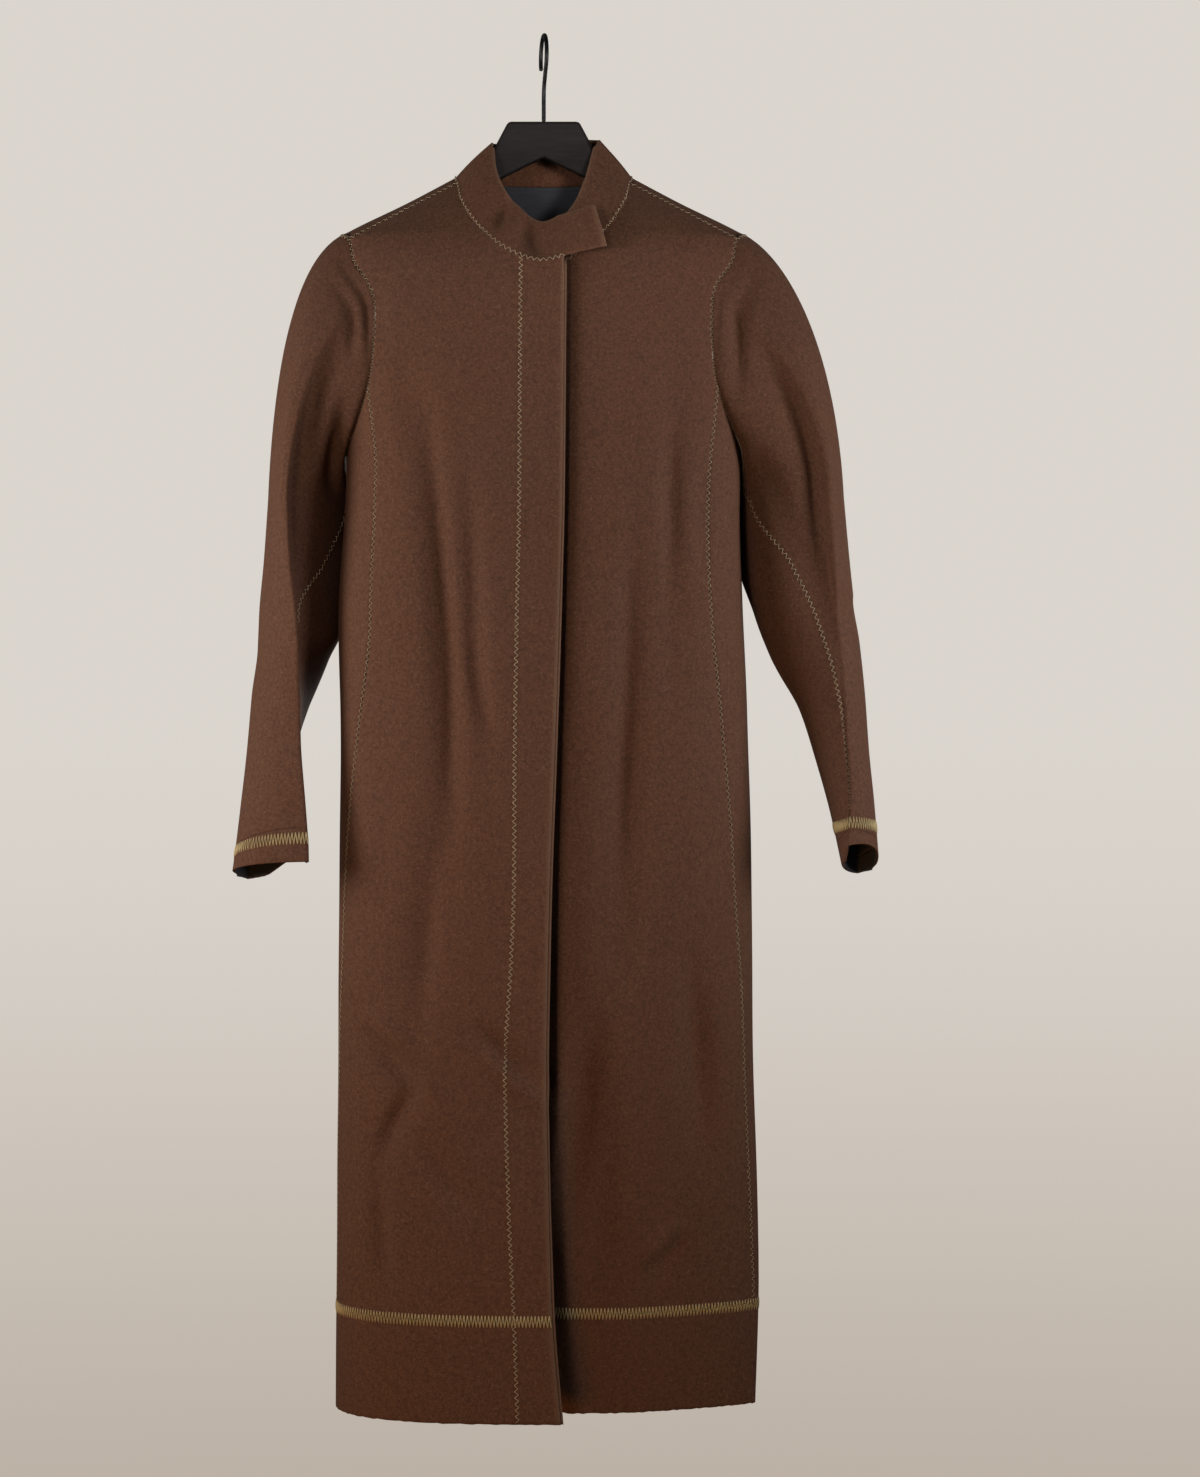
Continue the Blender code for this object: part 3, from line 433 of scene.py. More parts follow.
def putMesh(name, points, quads, uv=None, wearAndHighlight=None, kinds=None, rim=None):  # quads, smooth up to face rim
    mesh = bpy.data.meshes.new(name)
    mesh.vertices.add(len(points))
    mesh.vertices.foreach_set("co", (points * mm).astype(np.float32).ravel())
    mesh.loops.add(quads.size)
    mesh.loops.foreach_set("vertex_index", quads.astype(np.int32).ravel())
    mesh.polygons.add(len(quads))
    mesh.polygons.foreach_set("loop_start", np.arange(0, quads.size, 4, dtype=np.int32))
    mesh.polygons.foreach_set("use_smooth", np.arange(len(quads)) < (rim or len(quads)))
    if kinds is not None:
        mesh.polygons.foreach_set("material_index", kinds.astype(np.int32))
    if uv is not None:
        layer = mesh.uv_layers.new(name="cloth")
        layer.data.foreach_set("uv", uv[quads.ravel()].astype(np.float32).ravel())
    if wearAndHighlight is not None:
        # per point: how much paler an edge is, partly wear, partly a painted highlight
        mesh.attributes.new("wearAndHighlight", "FLOAT", "POINT").data.foreach_set("value", wearAndHighlight.astype(np.float32))
    mesh.update(calc_edges=True)
    mesh.validate()
    piece = bpy.data.objects.new(name, mesh)
    bpy.context.scene.collection.objects.link(piece)
    return piece


def clothWall(name, outer, out, thick, ring=False, wearAndHighlight=None, crisp=False):  # outer - thick * out, and a rim
    rows, cols = outer.shape[:2]
    count = rows * cols
    inner = outer - thick * out
    loops = gridBorders(rows, cols, ring)
    border = np.concatenate(loops)
    outerSoft = pullIn(outer, cloth["edgeRound"], ring)
    middle = (outer + inner) / 2 - (outerSoft - outer) * cloth["edgeMeet"] / cloth["edgeRound"]
    middle = middle.reshape(-1, 3)[border]
    innerSoft = pullIn(inner, cloth["edgeRound"], ring)
    points = np.concatenate([outerSoft.reshape(-1, 3), innerSoft.reshape(-1, 3), middle])
    quads = gridQuads(rows, cols, ring)
    faces = [quads, quads[:, ::-1] + count]
    start = 2 * count
    for loop in loops:
        rim = start + np.arange(len(loop))
        nextLoop, nextRim = np.roll(loop, -1), np.roll(rim, -1)
        faces.append(np.stack([nextLoop, loop, rim, nextRim], -1))
        faces.append(np.stack([nextRim, rim, loop + count, nextLoop + count], -1))
        start += len(loop)
    kinds = np.concatenate([np.full(len(f), 1 if i == 1 else 0) for i, f in enumerate(faces)])
    middleFace = rows // 2 * (cols if ring else cols - 1) + cols // 2
    faces = outward(np.concatenate(faces), outer.reshape(-1, 3), middleFace, out[rows // 2, cols // 2])
    uv = gridLengths(outer).reshape(-1, 2)
    wearAndHighlight = np.zeros((rows, cols)) if wearAndHighlight is None else np.broadcast_to(wearAndHighlight, (rows, cols))
    wearAndHighlight = wearAndHighlight.reshape(-1)
    return putMesh(name + "_cloth", points, faces, np.concatenate([uv, uv, uv[border]]),
                   np.concatenate([wearAndHighlight, wearAndHighlight, wearAndHighlight[border]]), kinds, 2 * len(quads) if crisp else None)


def dress(piece, materials, cutOf=None):
    for finish in materials:
        piece.data.materials.append(finish)
    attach(piece, "root")
    if cutOf:
        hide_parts(piece.name.removesuffix("_cloth"))


# Shaders: sums on wrapped sockets add their Math nodes

class Wire:
    def __init__(self, tree, socket=None):
        self.tree, self.socket = tree, socket

    def node(self, kind, settings=None, sockets=None, out=0):  # settings first, then values or links
        made = self.tree.nodes.new("ShaderNode" + kind)
        for name, value in (settings or {}).items():
            setattr(made, name, value)
        for name, value in (sockets or {}).items():
            if isinstance(value, Wire):
                self.tree.links.new(value.socket, made.inputs[name])
            else:
                made.inputs[name].default_value = value
        return Wire(self.tree, made.outputs[out])

    def maths(self, operation, a, b=0.0):  # one Math node
        return self.node("Math", {"operation": operation}, {0: a, 1: b})

    def blend(self, factor, a, b):  # two colours mixed
        return self.node("Mix", {"data_type": "RGBA", "clamp_factor": True}, {0: factor, 6: a, 7: b}, 2)

    def noise(self, where, scale, detail=2.0, rough=0.5):  # cloudy values round 0.5
        sockets = {"Vector": where, "Scale": scale, "Detail": detail, "Roughness": rough}
        return self.node("TexNoise", None, sockets)

    def split(self):  # X, Y and Z of a vector
        made = self.node("SeparateXYZ", None, {0: self}).socket.node
        return [Wire(self.tree, socket) for socket in made.outputs]

    def clip(self, low, high):  # 0 below low, 1 above high
        return self.node("MapRange", {"clamp": True}, {0: self, 1: low, 2: high, 3: 0.0, 4: 1.0})

    def __add__(self, other):
        return self.maths("ADD", self, other)

    def __rsub__(self, other):
        return self.maths("SUBTRACT", other, self)

    def __mul__(self, other):
        return self.maths("MULTIPLY", self, other)

    __radd__, __rmul__ = __add__, __mul__


def newMaterial(name, fixed):  # a Principled shader with its constants, and the Object coordinates
    made = bpy.data.materials.new(name)
    made.use_nodes = True
    wire = Wire(made.node_tree)
    shader = wire.tree.nodes["Principled BSDF"]
    for socket, value in fixed.items():
        shader.inputs[socket].default_value = value
    return made, wire, shader, wire.node("TexCoord", out="Object")


def feed(wire, shader, **links):  # links each value to the shader's socket of that name
    for name, value in links.items():
        wire.tree.links.new(value.socket, shader.inputs[name.replace("_", " ")])


def rgba(colour, tone=1.0):  # each part times tone, with alpha 1
    return tuple(part * tone for part in colour) + (1,)


woolLook = {
    "brown": (0.096, 0.0392, 0.0208), "dark": (0.040, 0.0160, 0.0084), "rust": (0.100, 0.0388, 0.0190),
    "pale": (0.22, 0.125, 0.077), "fibreScale": 620.0, "mottleScale": 300.0, "patchScale": 9.0,
    "fibreRange": (0.52, 0.76), "mottleRange": (0.3, 0.6), "patchRange": (0.35, 0.7),
    "twill": 1.5, "twillLean": (0.62, 0.78), "bump": 0.4,
    "mottleShare": 0.6, "fibreShare": 0.5, "twillShare": 0.12, "wearAndHighlightShare": 0.4,
}


def woolMaterial(name, tone=1.0):  # mottled fibres over a faint twill, paler along the edges: partly wear, partly a painted highlight
    fixed = {"Roughness": 0.9, "Specular IOR Level": 0.25, "Sheen Weight": 0.05, "Sheen Roughness": 0.45,
             "Sheen Tint": (0.62, 0.40, 0.26, 1)}
    made, wire, shader, place = newMaterial(name, fixed)
    u, v, _ = wire.node("TexCoord", out="UV").split()
    fibre = wire.noise(place, woolLook["fibreScale"], 3.0, 0.65)
    mottle = wire.noise(place, woolLook["mottleScale"], 2.0, 0.6)
    patch = wire.noise(place, woolLook["patchScale"])
    turn = 6.2832 / (woolLook["twill"] * mm)  # radians a metre
    leanU, leanV = woolLook["twillLean"]
    twill = wire.maths("SINE", (u * leanU + v * leanV) * turn) * 0.5 + 0.5
    wearAndHighlight = wire.node("Attribute", {"attribute_name": "wearAndHighlight"}, None, "Fac")
    brown, dark, rust, pale = (rgba(woolLook[key], tone) for key in ("brown", "dark", "rust", "pale"))
    colour = wire.blend(patch.clip(*woolLook["patchRange"]), brown, rust)
    between = 1 - mottle.clip(*woolLook["mottleRange"])
    colour = wire.blend(between * woolLook["mottleShare"], colour, dark)
    colour = wire.blend(fibre.clip(*woolLook["fibreRange"]) * woolLook["fibreShare"], colour, pale)
    colour = wire.blend(twill * woolLook["twillShare"], colour, dark)
    # paler edges: partly wear, partly a painted highlight on the rounded cloth edge
    colour = wire.blend(wearAndHighlight * woolLook["wearAndHighlightShare"], colour, pale)
    height = twill * 0.25 + fibre * 0.9 + mottle * 0.6
    bump = wire.node("Bump", None, {"Strength": woolLook["bump"], "Distance": 0.0006, "Height": height})
    feed(wire, shader, Base_Color=colour, Roughness=0.84 + fibre * 0.12, Normal=bump)
    return made


liningLook = {"weaveScale": 1500.0, "patchScale": 40.0, "glint": 2.0,
              "lining": (0.040, 0.040, 0.046), "label": (0.034, 0.034, 0.039)}


def liningMaterial(name, colour):  # a close dark weave with a little lustre
    fixed = {"Specular IOR Level": 0.2, "Sheen Weight": 0.08, "Sheen Roughness": 0.4}
    made, wire, shader, place = newMaterial(name, fixed)
    weave = wire.noise(place, liningLook["weaveScale"], 2.0, 0.6)
    patch = wire.noise(place, liningLook["patchScale"])
    tint = wire.blend(weave * 0.5 + patch * 0.3, rgba(colour), rgba(colour, liningLook["glint"]))
    bump = wire.node("Bump", None, {"Strength": 0.2, "Distance": 0.0003, "Height": weave})
    feed(wire, shader, Base_Color=tint, Roughness=0.5 + weave * 0.2, Normal=bump)
    return made


threadLook = {"twistScale": 2400.0, "runScale": 130.0,
              "beige": ((0.38, 0.275, 0.165), (0.22, 0.15, 0.085)),
              "gold": ((0.44, 0.33, 0.155), (0.27, 0.19, 0.08))}


def threadMaterial(name, light, deep):  # spun thread, darker in its twist
    made, wire, shader, place = newMaterial(name, {"Specular IOR Level": 0.4, "Sheen Weight": 0.1})
    twist = wire.noise(place, threadLook["twistScale"], 2.0, 0.6)
    run = wire.noise(place, threadLook["runScale"])
    tint = wire.blend(twist.clip(0.3, 0.7) * 0.6 + run.clip(0.4, 0.8) * 0.3, rgba(light), rgba(deep))
    feed(wire, shader, Base_Color=tint, Roughness=0.55 + twist * 0.2)
    return made


woodLook = {"grainScale": 420.0, "rubScale": 60.0, "stretch": (0.12, 1.0, 1.0),
            "dark": (0.0115, 0.0086, 0.0084), "light": (0.023, 0.0172, 0.0166)}


def woodMaterial(name):  # black satin lacquer with a faint long grain
    made, wire, shader, place = newMaterial(name, {"Specular IOR Level": 0.2})
    long = wire.node("Mapping", None, {"Vector": place, "Scale": woodLook["stretch"]})
    grain = wire.noise(long, woodLook["grainScale"], 4.0, 0.6)
    rub = wire.noise(place, woodLook["rubScale"], 3.0, 0.6)
    tint = wire.blend(grain.clip(0.3, 0.75), rgba(woodLook["dark"]), rgba(woodLook["light"]))
    bump = wire.node("Bump", None, {"Strength": 0.15, "Distance": 0.0003, "Height": grain})
    feed(wire, shader, Base_Color=tint, Roughness=0.5 + rub * 0.22, Normal=bump)
    return made


wireLook = {"rubScale": 240.0, "dark": (0.02, 0.02, 0.021), "light": (0.05, 0.049, 0.048)}


def metalMaterial(name):  # black oxide wire, rubbed a little
    made, wire, shader, place = newMaterial(name, {"Metallic": 0.85})
    rub = wire.noise(place, wireLook["rubScale"], 3.0, 0.6)
    tint = wire.blend(rub.clip(0.45, 0.75), rgba(wireLook["dark"]), rgba(wireLook["light"]))
    feed(wire, shader, Base_Color=tint, Roughness=0.3 + rub * 0.25)
    return made


wool = woolMaterial("brownWool")
lining = liningMaterial("navyLining", liningLook["lining"])
label = liningMaterial("labelCloth", liningLook["label"])
print("finishes made")

# Front panels, side panels, back, hem band, fly and pockets

frontSizes = {"lowRows": 230, "holeRows": 64, "neckColumns": 28, "shoulderColumns": 30, "wearAndHighlightColumns": 1.5,
              "slit": 0.8, "slitFade": (8.0, 7.0), "slitShare": 0.97, "slitRadius": 180.0,
              "hole": (126.0, 24.0), "cut": ((0.25, 1.09), 0.215)}
holeFront = np.linspace(*frontSizes["hole"], frontSizes["holeRows"])


def frontGrid(side):  # columns from the centre edge to the side seam, rows up to neckline and shoulder
    lowZ = np.linspace(cut["hemSeamZ"], notchZ, frontSizes["lowRows"])[:, None]
    edge = angleOf(frontEdge(side, lowZ), lowZ, side)
    sideSeam = frontSeam(side, lowZ)
    atNeck = (edge[-1, 0] - angleOf(neckX, notchZ)) / (edge[-1, 0] - sideSeam[-1, 0])
    share = np.concatenate([np.linspace(0, atNeck, frontSizes["neckColumns"]),
                            np.linspace(atNeck, 1, frontSizes["shoulderColumns"])[1:]])
    (pocketLow, pocketTop), (past, within) = cut["pocketZ"], frontSizes["slitFade"]
    slit = frontSizes["slit"] * ease(pocketLow - past, pocketLow + within, lowZ)
    slit = slit * (1 - ease(pocketTop - within, pocketTop + past, lowZ))
    low = mix(edge, sideSeam, share)
    low = low + ease(frontSizes["slitShare"], 1, share) * np.degrees(slit / frontSizes["slitRadius"])
    notchAcross = acrossOf(low[-1], notchZ)
    topAcross = np.interp(share, [0, atNeck, 1], [frontEdge(side, cut["neckFrontZ"]), neckX, endX])
    shoulderZ = mix(neckZ, endZ, (topAcross - neckX) / (endX - neckX))
    topZ = np.where(topAcross < neckX, neckline(topAcross), shoulderZ)
    holeAngle, holeZ = (v[1:, None] for v in armhole(holeFront))
    up = (holeZ - notchZ) / (endZ - notchZ)
    highZ = mix(notchZ, topZ, up)
    bow = acrossOf(holeAngle, holeZ) - mix(notchAcross[-1], endX, up)
    high = angleOf(mix(notchAcross, topAcross, up) + bow * share ** 3, highZ)
    z = np.concatenate([np.broadcast_to(lowZ, low.shape), highZ])
    return turned(side, np.concatenate([low, high])), z


def bodyWall(name, theta, z, thick, inset=0.0, side=right, wearAndHighlight=None, crisp=False):  # moved in by its inset
    z = np.broadcast_to(z, theta.shape)
    out = bodyOut(theta, z, side)
    outer = bodyShape(theta, z, side) - np.asarray(inset)[..., None] * out
    if np.ndim(inset):
        out = gridOut(outer, outer * upright)
    return clothWall(name, outer, out, thick, wearAndHighlight=wearAndHighlight, crisp=crisp)


def edgeWearAndHighlight(points, columnsIn):  # 1 along the first column, fading over the next few: wear and a painted edge highlight
    return np.clip(1 - np.arange(points) / columnsIn, 0, 1)[None, :] ** 2


for side, word in sides:
    theta, z = frontGrid(side)
    inset = underlap(side, bodyShape(theta, z, side))
    wearAndHighlight = edgeWearAndHighlight(theta.shape[1], frontSizes["wearAndHighlightColumns"])
    piece = bodyWall("front_" + word, theta, z, cloth["wall"], inset, side, wearAndHighlight)
    dress(piece, [wool, lining], frontSizes["cut"])

sideSizes = {"columns": 34, "rows": 230, "hole": (126.0, 235.0), "cut": ((0.115, 0.90), 0.081)}
holeSide = np.linspace(*sideSizes["hole"], sideSizes["columns"])


def sideGrid(side):  # columns from the front seam to the back seam, the top following the armhole
    share = np.linspace(0, 1, len(holeSide))
    topAngle, topZ = armhole(np.where(holeSide > 180, holeSide - 360, holeSide))
    up = np.linspace(0, 1, sideSizes["rows"])[:, None]
    z = mix(cut["hemSeamZ"], topZ, up)
    angle = mix(frontSeam(side, z), backSeam(z), share)
    slide = topAngle - mix(frontSeam(side, topZ), backSeam(topZ), share)
    return turned(side, angle + slide * up ** 4), z


for side, word in sides:
    theta, z = sideGrid(side)
    piece = bodyWall("side_" + word, theta, z, cloth["wall"], 0.0, side)
    dress(piece, [wool, lining], sideSizes["cut"])

backSizes = {"lowRows": 230, "holeRows": 60, "shoulderRows": 24, "columns": 111, "evenShare": 0.55,
             "pullShare": 0.16, "cut": ((0.46, 1.12), 0.41)}
backHoleSteps = {"around": [-125, -100, -75, -50, -28, -13, 0, 12, 24],
                 "middleZ": [-341, -302, -262, -226, -207, -198, -191, -186, -182]}


def backGrid():  # rows bend forward over the shoulders, columns run from seam to seam
    lowZ = np.linspace(cut["hemSeamZ"], notchZ, backSizes["lowRows"])
    steps = np.arange(len(backHoleSteps["around"]), dtype=float)
    fine = np.linspace(0, steps[-1], backSizes["holeRows"])[1:]
    holeAngle, holeZ = armhole(np.interp(fine, steps, backHoleSteps["around"]))
    holeMiddle = smoothCurve(steps, np.array(backHoleSteps["middleZ"], float), fine)
    up = np.linspace(0, 1, backSizes["shoulderRows"])[1:]
    shoulderZ = mix(endZ, neckZ, up)
    shoulderAngle = angleOf(mix(endX, neckX, up), shoulderZ)
    angle = np.concatenate([backSeam(lowZ), holeAngle, shoulderAngle])[:, None]
    edgeZ = np.concatenate([lowZ, holeZ, shoulderZ])[:, None]
    neckMiddle = mix(backHoleSteps["middleZ"][-1], cut["neckBackZ"], up)
    middle = np.concatenate([lowZ, holeMiddle, neckMiddle])[:, None]
    even = np.linspace(0, 1, backSizes["columns"])
    share = mix(0.5 - 0.5 * np.cos(np.pi * even), even, backSizes["evenShare"])
    pull = np.clip(1 - np.minimum(share, 1 - share) / backSizes["pullShare"], 0, 1) ** 2
    z = mix(middle, edgeZ, pull)
    return mix(angle, -180 - angle, share), z


theta, z = backGrid()
piece = bodyWall("back", theta, z, cloth["wall"], crisp=True)
dress(piece, [wool, lining], backSizes["cut"])

neckSizes = {"below": 4.0, "liningIn": 30, "labelIn": 48, "labelTop": 8,
             "liningCut": ((0.27, 0.19), 0.048), "labelCut": ((0.056, 0.053), 0.0028)}
rows = slice(-backSizes["holeRows"] - backSizes["shoulderRows"] + 2, None)
cols = slice(neckSizes["liningIn"], -neckSizes["liningIn"])
height = z[rows, cols]
height = height - neckSizes["below"] * np.linspace(0, 1, len(height))[:, None] ** 2
depthIn = cloth["wall"] + cloth["liningGap"]
piece = bodyWall("neck_lining", theta[rows, cols], height, cloth["liningWall"], depthIn)
dress(piece, [lining, lining], neckSizes["liningCut"])
rows = slice(-backSizes["shoulderRows"] + 1, -neckSizes["labelTop"])
cols = slice(neckSizes["labelIn"], -neckSizes["labelIn"])
depthIn = cloth["wall"] + cloth["liningWall"] + 2 * cloth["liningGap"]
piece = bodyWall("neck_label", theta[rows, cols], z[rows, cols], cloth["labelWall"], depthIn)
dress(piece, [label, label], neckSizes["labelCut"])

hemSizes = {"rows": 28, "frontColumns": 76, "backColumns": 100, "ragged": 0.2, "wearAndHighlightColumns": 1.5,
            "waves": ((1.0, 2.3, 0.4), (1.0, 5.1, 1.7), (0.7, 11.3, 0.0)),
            "frontCut": ((0.30, 0.096), 0.0275), "backCut": ((0.42, 0.096), 0.040)}


def hemRagged(theta, z):  # the lowest row moved by a sum of sines, for a raw edge
    ragged = sum(size * np.sin(theta * turn + shift) for size, turn, shift in hemSizes["waves"])
    return z + hemSizes["ragged"] * ragged * (np.arange(len(theta)) == 0)[:, None]


z = np.linspace(cut["hemZ"], cut["hemSeamZ"], hemSizes["rows"])[:, None]
for side, word in sides:
    edge = angleOf(frontEdge(side, z), z, side)
    theta = turned(side, mix(edge, backSeam(z), np.linspace(0, 1, hemSizes["frontColumns"])))
    inset = underlap(side, bodyShape(theta, z, side))
    wearAndHighlight = edgeWearAndHighlight(theta.shape[1], hemSizes["wearAndHighlightColumns"])
    piece = bodyWall("hem_" + word, theta, hemRagged(theta, z), cloth["wall"], inset, side, wearAndHighlight)
    dress(piece, [wool, wool], hemSizes["frontCut"])
theta = mix(backSeam(z), -180 - backSeam(z), np.linspace(0, 1, hemSizes["backColumns"]))
piece = bodyWall("hem_back", theta, hemRagged(theta, z), cloth["wall"])
dress(piece, [wool, wool], hemSizes["backCut"])

flySizes = {"rows": 260, "columns": 16, "past": 2.5, "below": 1.5, "wearAndHighlightColumns": 1.2,
            "cut": ((0.045, 1.085), 0.044)}
z = np.linspace(cut["hemZ"], cut["neckFrontZ"] - flySizes["below"], flySizes["rows"])[:, None]
stitchX = tableAt(frontEdgeTable, "stitch", z)
edgeX = tableAt(frontEdgeTable, "across", z) + flySizes["past"]
across = mix(stitchX, edgeX, np.linspace(0, 1, flySizes["columns"]))
theta = turned(left, angleOf(across - bodyAt("shift", z), z))
piece = bodyWall("fly_placket", theta, z, cloth["flyWall"], cloth["wall"] + cloth["layerGap"],
                 wearAndHighlight=edgeWearAndHighlight(flySizes["columns"], flySizes["wearAndHighlightColumns"])[:, ::-1])
dress(piece, [wool, wool], flySizes["cut"])

pocketSizes = {"rows": 50, "columns": 12, "spread": 6.0, "longer": 9.0, "cut": ((0.03, 0.195), 0.0055)}
lowEnd, highEnd = cut["pocketZ"][0] - pocketSizes["longer"], cut["pocketZ"][1] + pocketSizes["longer"]
z = np.linspace(lowEnd, highEnd, pocketSizes["rows"])[:, None]
for side, word in sides:
    spread = np.linspace(-pocketSizes["spread"], pocketSizes["spread"], pocketSizes["columns"])
    theta = turned(side, frontSeam(side, z) + spread)
    piece = bodyWall("pocket_facing_" + word, theta, z, cloth["facingWall"],
                     cloth["wall"] + cloth["facingGap"], side)
    dress(piece, [wool, wool], pocketSizes["cut"])
print("body panels made")

# Collar

collarSizes = {"rows": 16, "tabColumns": 14, "frontColumns": 30, "bow": 1.6, "tabSlant": 6.0,
               "tabShare": 0.07, "tabEnd": (60.0, -84.0, -213.0), "wearAndHighlightFrom": 0.9, "wearAndHighlightOver": 0.1,
               "wearAndHighlightTab": 0.01, "insideTone": 1.7, "cut": ((0.62, 0.045), 0.025)}
collarTable = columns(
    "share rise lean",
    (0.00, 42, 20), (0.09, 40, 22), (0.14, 42, 25), (0.36, 33, 35), (0.56, 44, 16), (0.77, 33, 36),
    (1.00, 41, 25),
)
collarDents = columns(  # soft dents in the collar: place along it, up it, their sizes and depth
    "along up wide tall depth",
    (0.190, 0.60, 0.015, 0.30, -6.0), (0.160, 0.50, 0.013, 0.4, 2.5), (0.128, 0.58, 0.018, 0.30, -7.0),
    (0.112, 0.34, 0.018, 0.24, -3.5), (0.86, 0.5, 0.02, 0.6, -1.4), (0.55, 0.5, 0.05, 0.5, 0.8),
    (0.06, 0.35, 0.03, 0.4, -0.7),
)


def neckLine():  # the neckline seam, from the right front edge by the back to the left front
    theta, z = backGrid()
    ends = []
    for side in (right, left):
        edge = frontEdge(side, cut["neckFrontZ"])
        across = np.linspace(edge, neckX, collarSizes["frontColumns"])
        height = neckline(across)
        angle = turned(side, angleOf(across, height))
        points = bodyShape(angle, height)
        ends.append(points - underlap(side, points)[:, None] * bodyOut(angle, height))
    return np.concatenate([ends[0], bodyShape(theta[-1], z[-1])[-2:0:-1], ends[1][:0:-1]])


neckSeam = neckLine()
tabShare = np.linspace(0, 1, collarSizes["tabColumns"])[:-1, None]
tab = mix(np.array(collarSizes["tabEnd"]), neckSeam[0], tabShare)
base = np.concatenate([tab, neckSeam])
length = runOf(base)
share = length / length[-1]
rise = tableAt(collarTable, "rise", share, "share")
lean = tableAt(collarTable, "lean", share, "share")
inward = unit(np.stack([-np.minimum(base[:, 0], neckSeam[0, 0]) * (share < 0.5) - base[:, 0] * (share >= 0.5),
                        cut["neckAxisY"] - base[:, 1]], -1))
up = np.linspace(0, 1, collarSizes["rows"])[:, None]
lift = lean * up - collarSizes["bow"] * np.sin(np.pi * up)
outer = np.stack([base[:, 0] + lift * inward[:, 0], base[:, 1] + lift * inward[:, 1],
                  base[:, 2] + rise * up], -1)
outer[..., 0] -= collarSizes["tabSlant"] * up * np.clip(1 - share / collarSizes["tabShare"], 0, 1)
neckAxis = outer * upright + np.array([0.0, cut["neckAxisY"], 0.0])
out = gridOut(outer, neckAxis)
dent = sum(depth * np.exp(-((share - along) / wide) ** 2 - ((up - high) / tall) ** 2)
           for along, high, wide, tall, depth in rowsOf(collarDents))
outer = outer + dent[..., None] * out
# the collar's top edge and the tab's end paler: partly wear, partly a painted highlight
wearAndHighlight = np.clip((up - collarSizes["wearAndHighlightFrom"]) / collarSizes["wearAndHighlightOver"], 0, 1) ** 2
wearAndHighlight = np.clip(wearAndHighlight + np.clip(1 - share / collarSizes["wearAndHighlightTab"], 0, 1), 0, 1)
piece = clothWall("collar", outer, gridOut(outer, neckAxis), cloth["collarWall"], wearAndHighlight=wearAndHighlight)
# painted light: the collar's inside is the same wool made insideTone times brighter
inside = woolMaterial("collarInside", collarSizes["insideTone"])
dress(piece, [wool, inside], collarSizes["cut"])
print("collar made")

# Sleeves

sleeveSizes = {"capRows": 50, "tubeRows": 110, "upperColumns": (10, 48, 40), "underColumns": 48,
               "cuffColumns": (48, 62), "cuffRows": 12, "axisStep": 6.0, "slopeSteps": (0.5, 0.003),
               "slopeEnd": 0.004, "ridgeFade": 8.0, "ridgeThin": 0.72, "ridgeWidth": 11.0,
               "upperCut": ((0.28, 0.62), 0.118), "underCut": ((0.11, 0.52), 0.041),
               "cuffCut": ((0.235, 0.024), 0.0054)}


def sleeveAxis(side, z):  # the sleeve's middle line by height
    table = sleeveTables[side]
    return np.stack([side * tableAt(table, "across", z), tableAt(table, "y", z), z], -1)


def sleeveRun(side, z):  # the direction down that line
    step = sleeveSizes["axisStep"]
    return unit(sleeveAxis(side, z - step) - sleeveAxis(side, z + step))


ridge = {"front": 60.0, "back": -90.0}   # where the two ridges lie round the sleeve


def arc(t, start, first, second, end):  # cubic curve from start to end with two handles
    return start * (1 - t) ** 3 + 3 * first * t * (1 - t) ** 2 + 3 * second * t * t * (1 - t) + end * t ** 3


def sleeveRing(side, around, z):  # two arcs from ridge to ridge, laid square to the axis
    t = sleeveTables[side]
    at = {name: tableAt(t, name, z) for name in t}
    down = sleeveRun(side, z)
    outward = np.array([side, 0.0, 0.0])
    e1 = unit(outward - (down @ outward)[..., None] * down)
    e2 = side * np.cross(down, e1)
    turn = (around - ridge["back"]) % 360
    wide = ridge["front"] - ridge["back"]
    outer, inner = np.clip(1 - turn / wide, 0, 1), np.clip((turn - wide) / (360 - wide), 0, 1)
    place = []
    for axis in "XY":
        ends = at["front" + axis], at["back" + axis]
        outside = arc(outer, ends[0], at["out" + axis + "1"], at["out" + axis + "2"], ends[1])
        inside = arc(inner, ends[0], at["in" + axis + "1"], at["in" + axis + "2"], ends[1])
        place.append(np.where(turn < wide, outside, inside))
    across, forward = place[0] - at["across"], at["y"] - place[1]
    return sleeveAxis(side, z) + across[..., None] * e1 + forward[..., None] * e2


capForm = {  # each pair is a mean and its swing round the sleeve
    "out": (0.68, 0.22), "up": (-0.62, 0.12), "first": (0.21, -0.02), "second": (0.44, 0.07), "back": 0.22,
}


def swung(name, cos):  # mean + swing * cosine
    mean, swing = capForm[name]
    return mean + swing * cos


def sleeveCap(side, around, up):  # cubic curves from the armhole (0) to the tube's top ring (1)
    angle, height = armhole(around)
    topZ = np.full_like(around, cut["sleeveTopZ"])
    start = bodyShape(turned(side, angle), height)
    end = sleeveRing(side, around, topZ)
    cos, sin = cosSin(around)
    leave = unit(np.stack([side * swung("out", cos), -capForm["back"] * sin, swung("up", cos)], -1))
    far = np.linalg.norm(end - start, axis=-1)[..., None]
    first = start + leave * far * swung("first", cos[..., None])
    second = end - sleeveRun(side, topZ) * far * swung("second", cos[..., None])
    return arc(up[..., None], start, first, second, end)


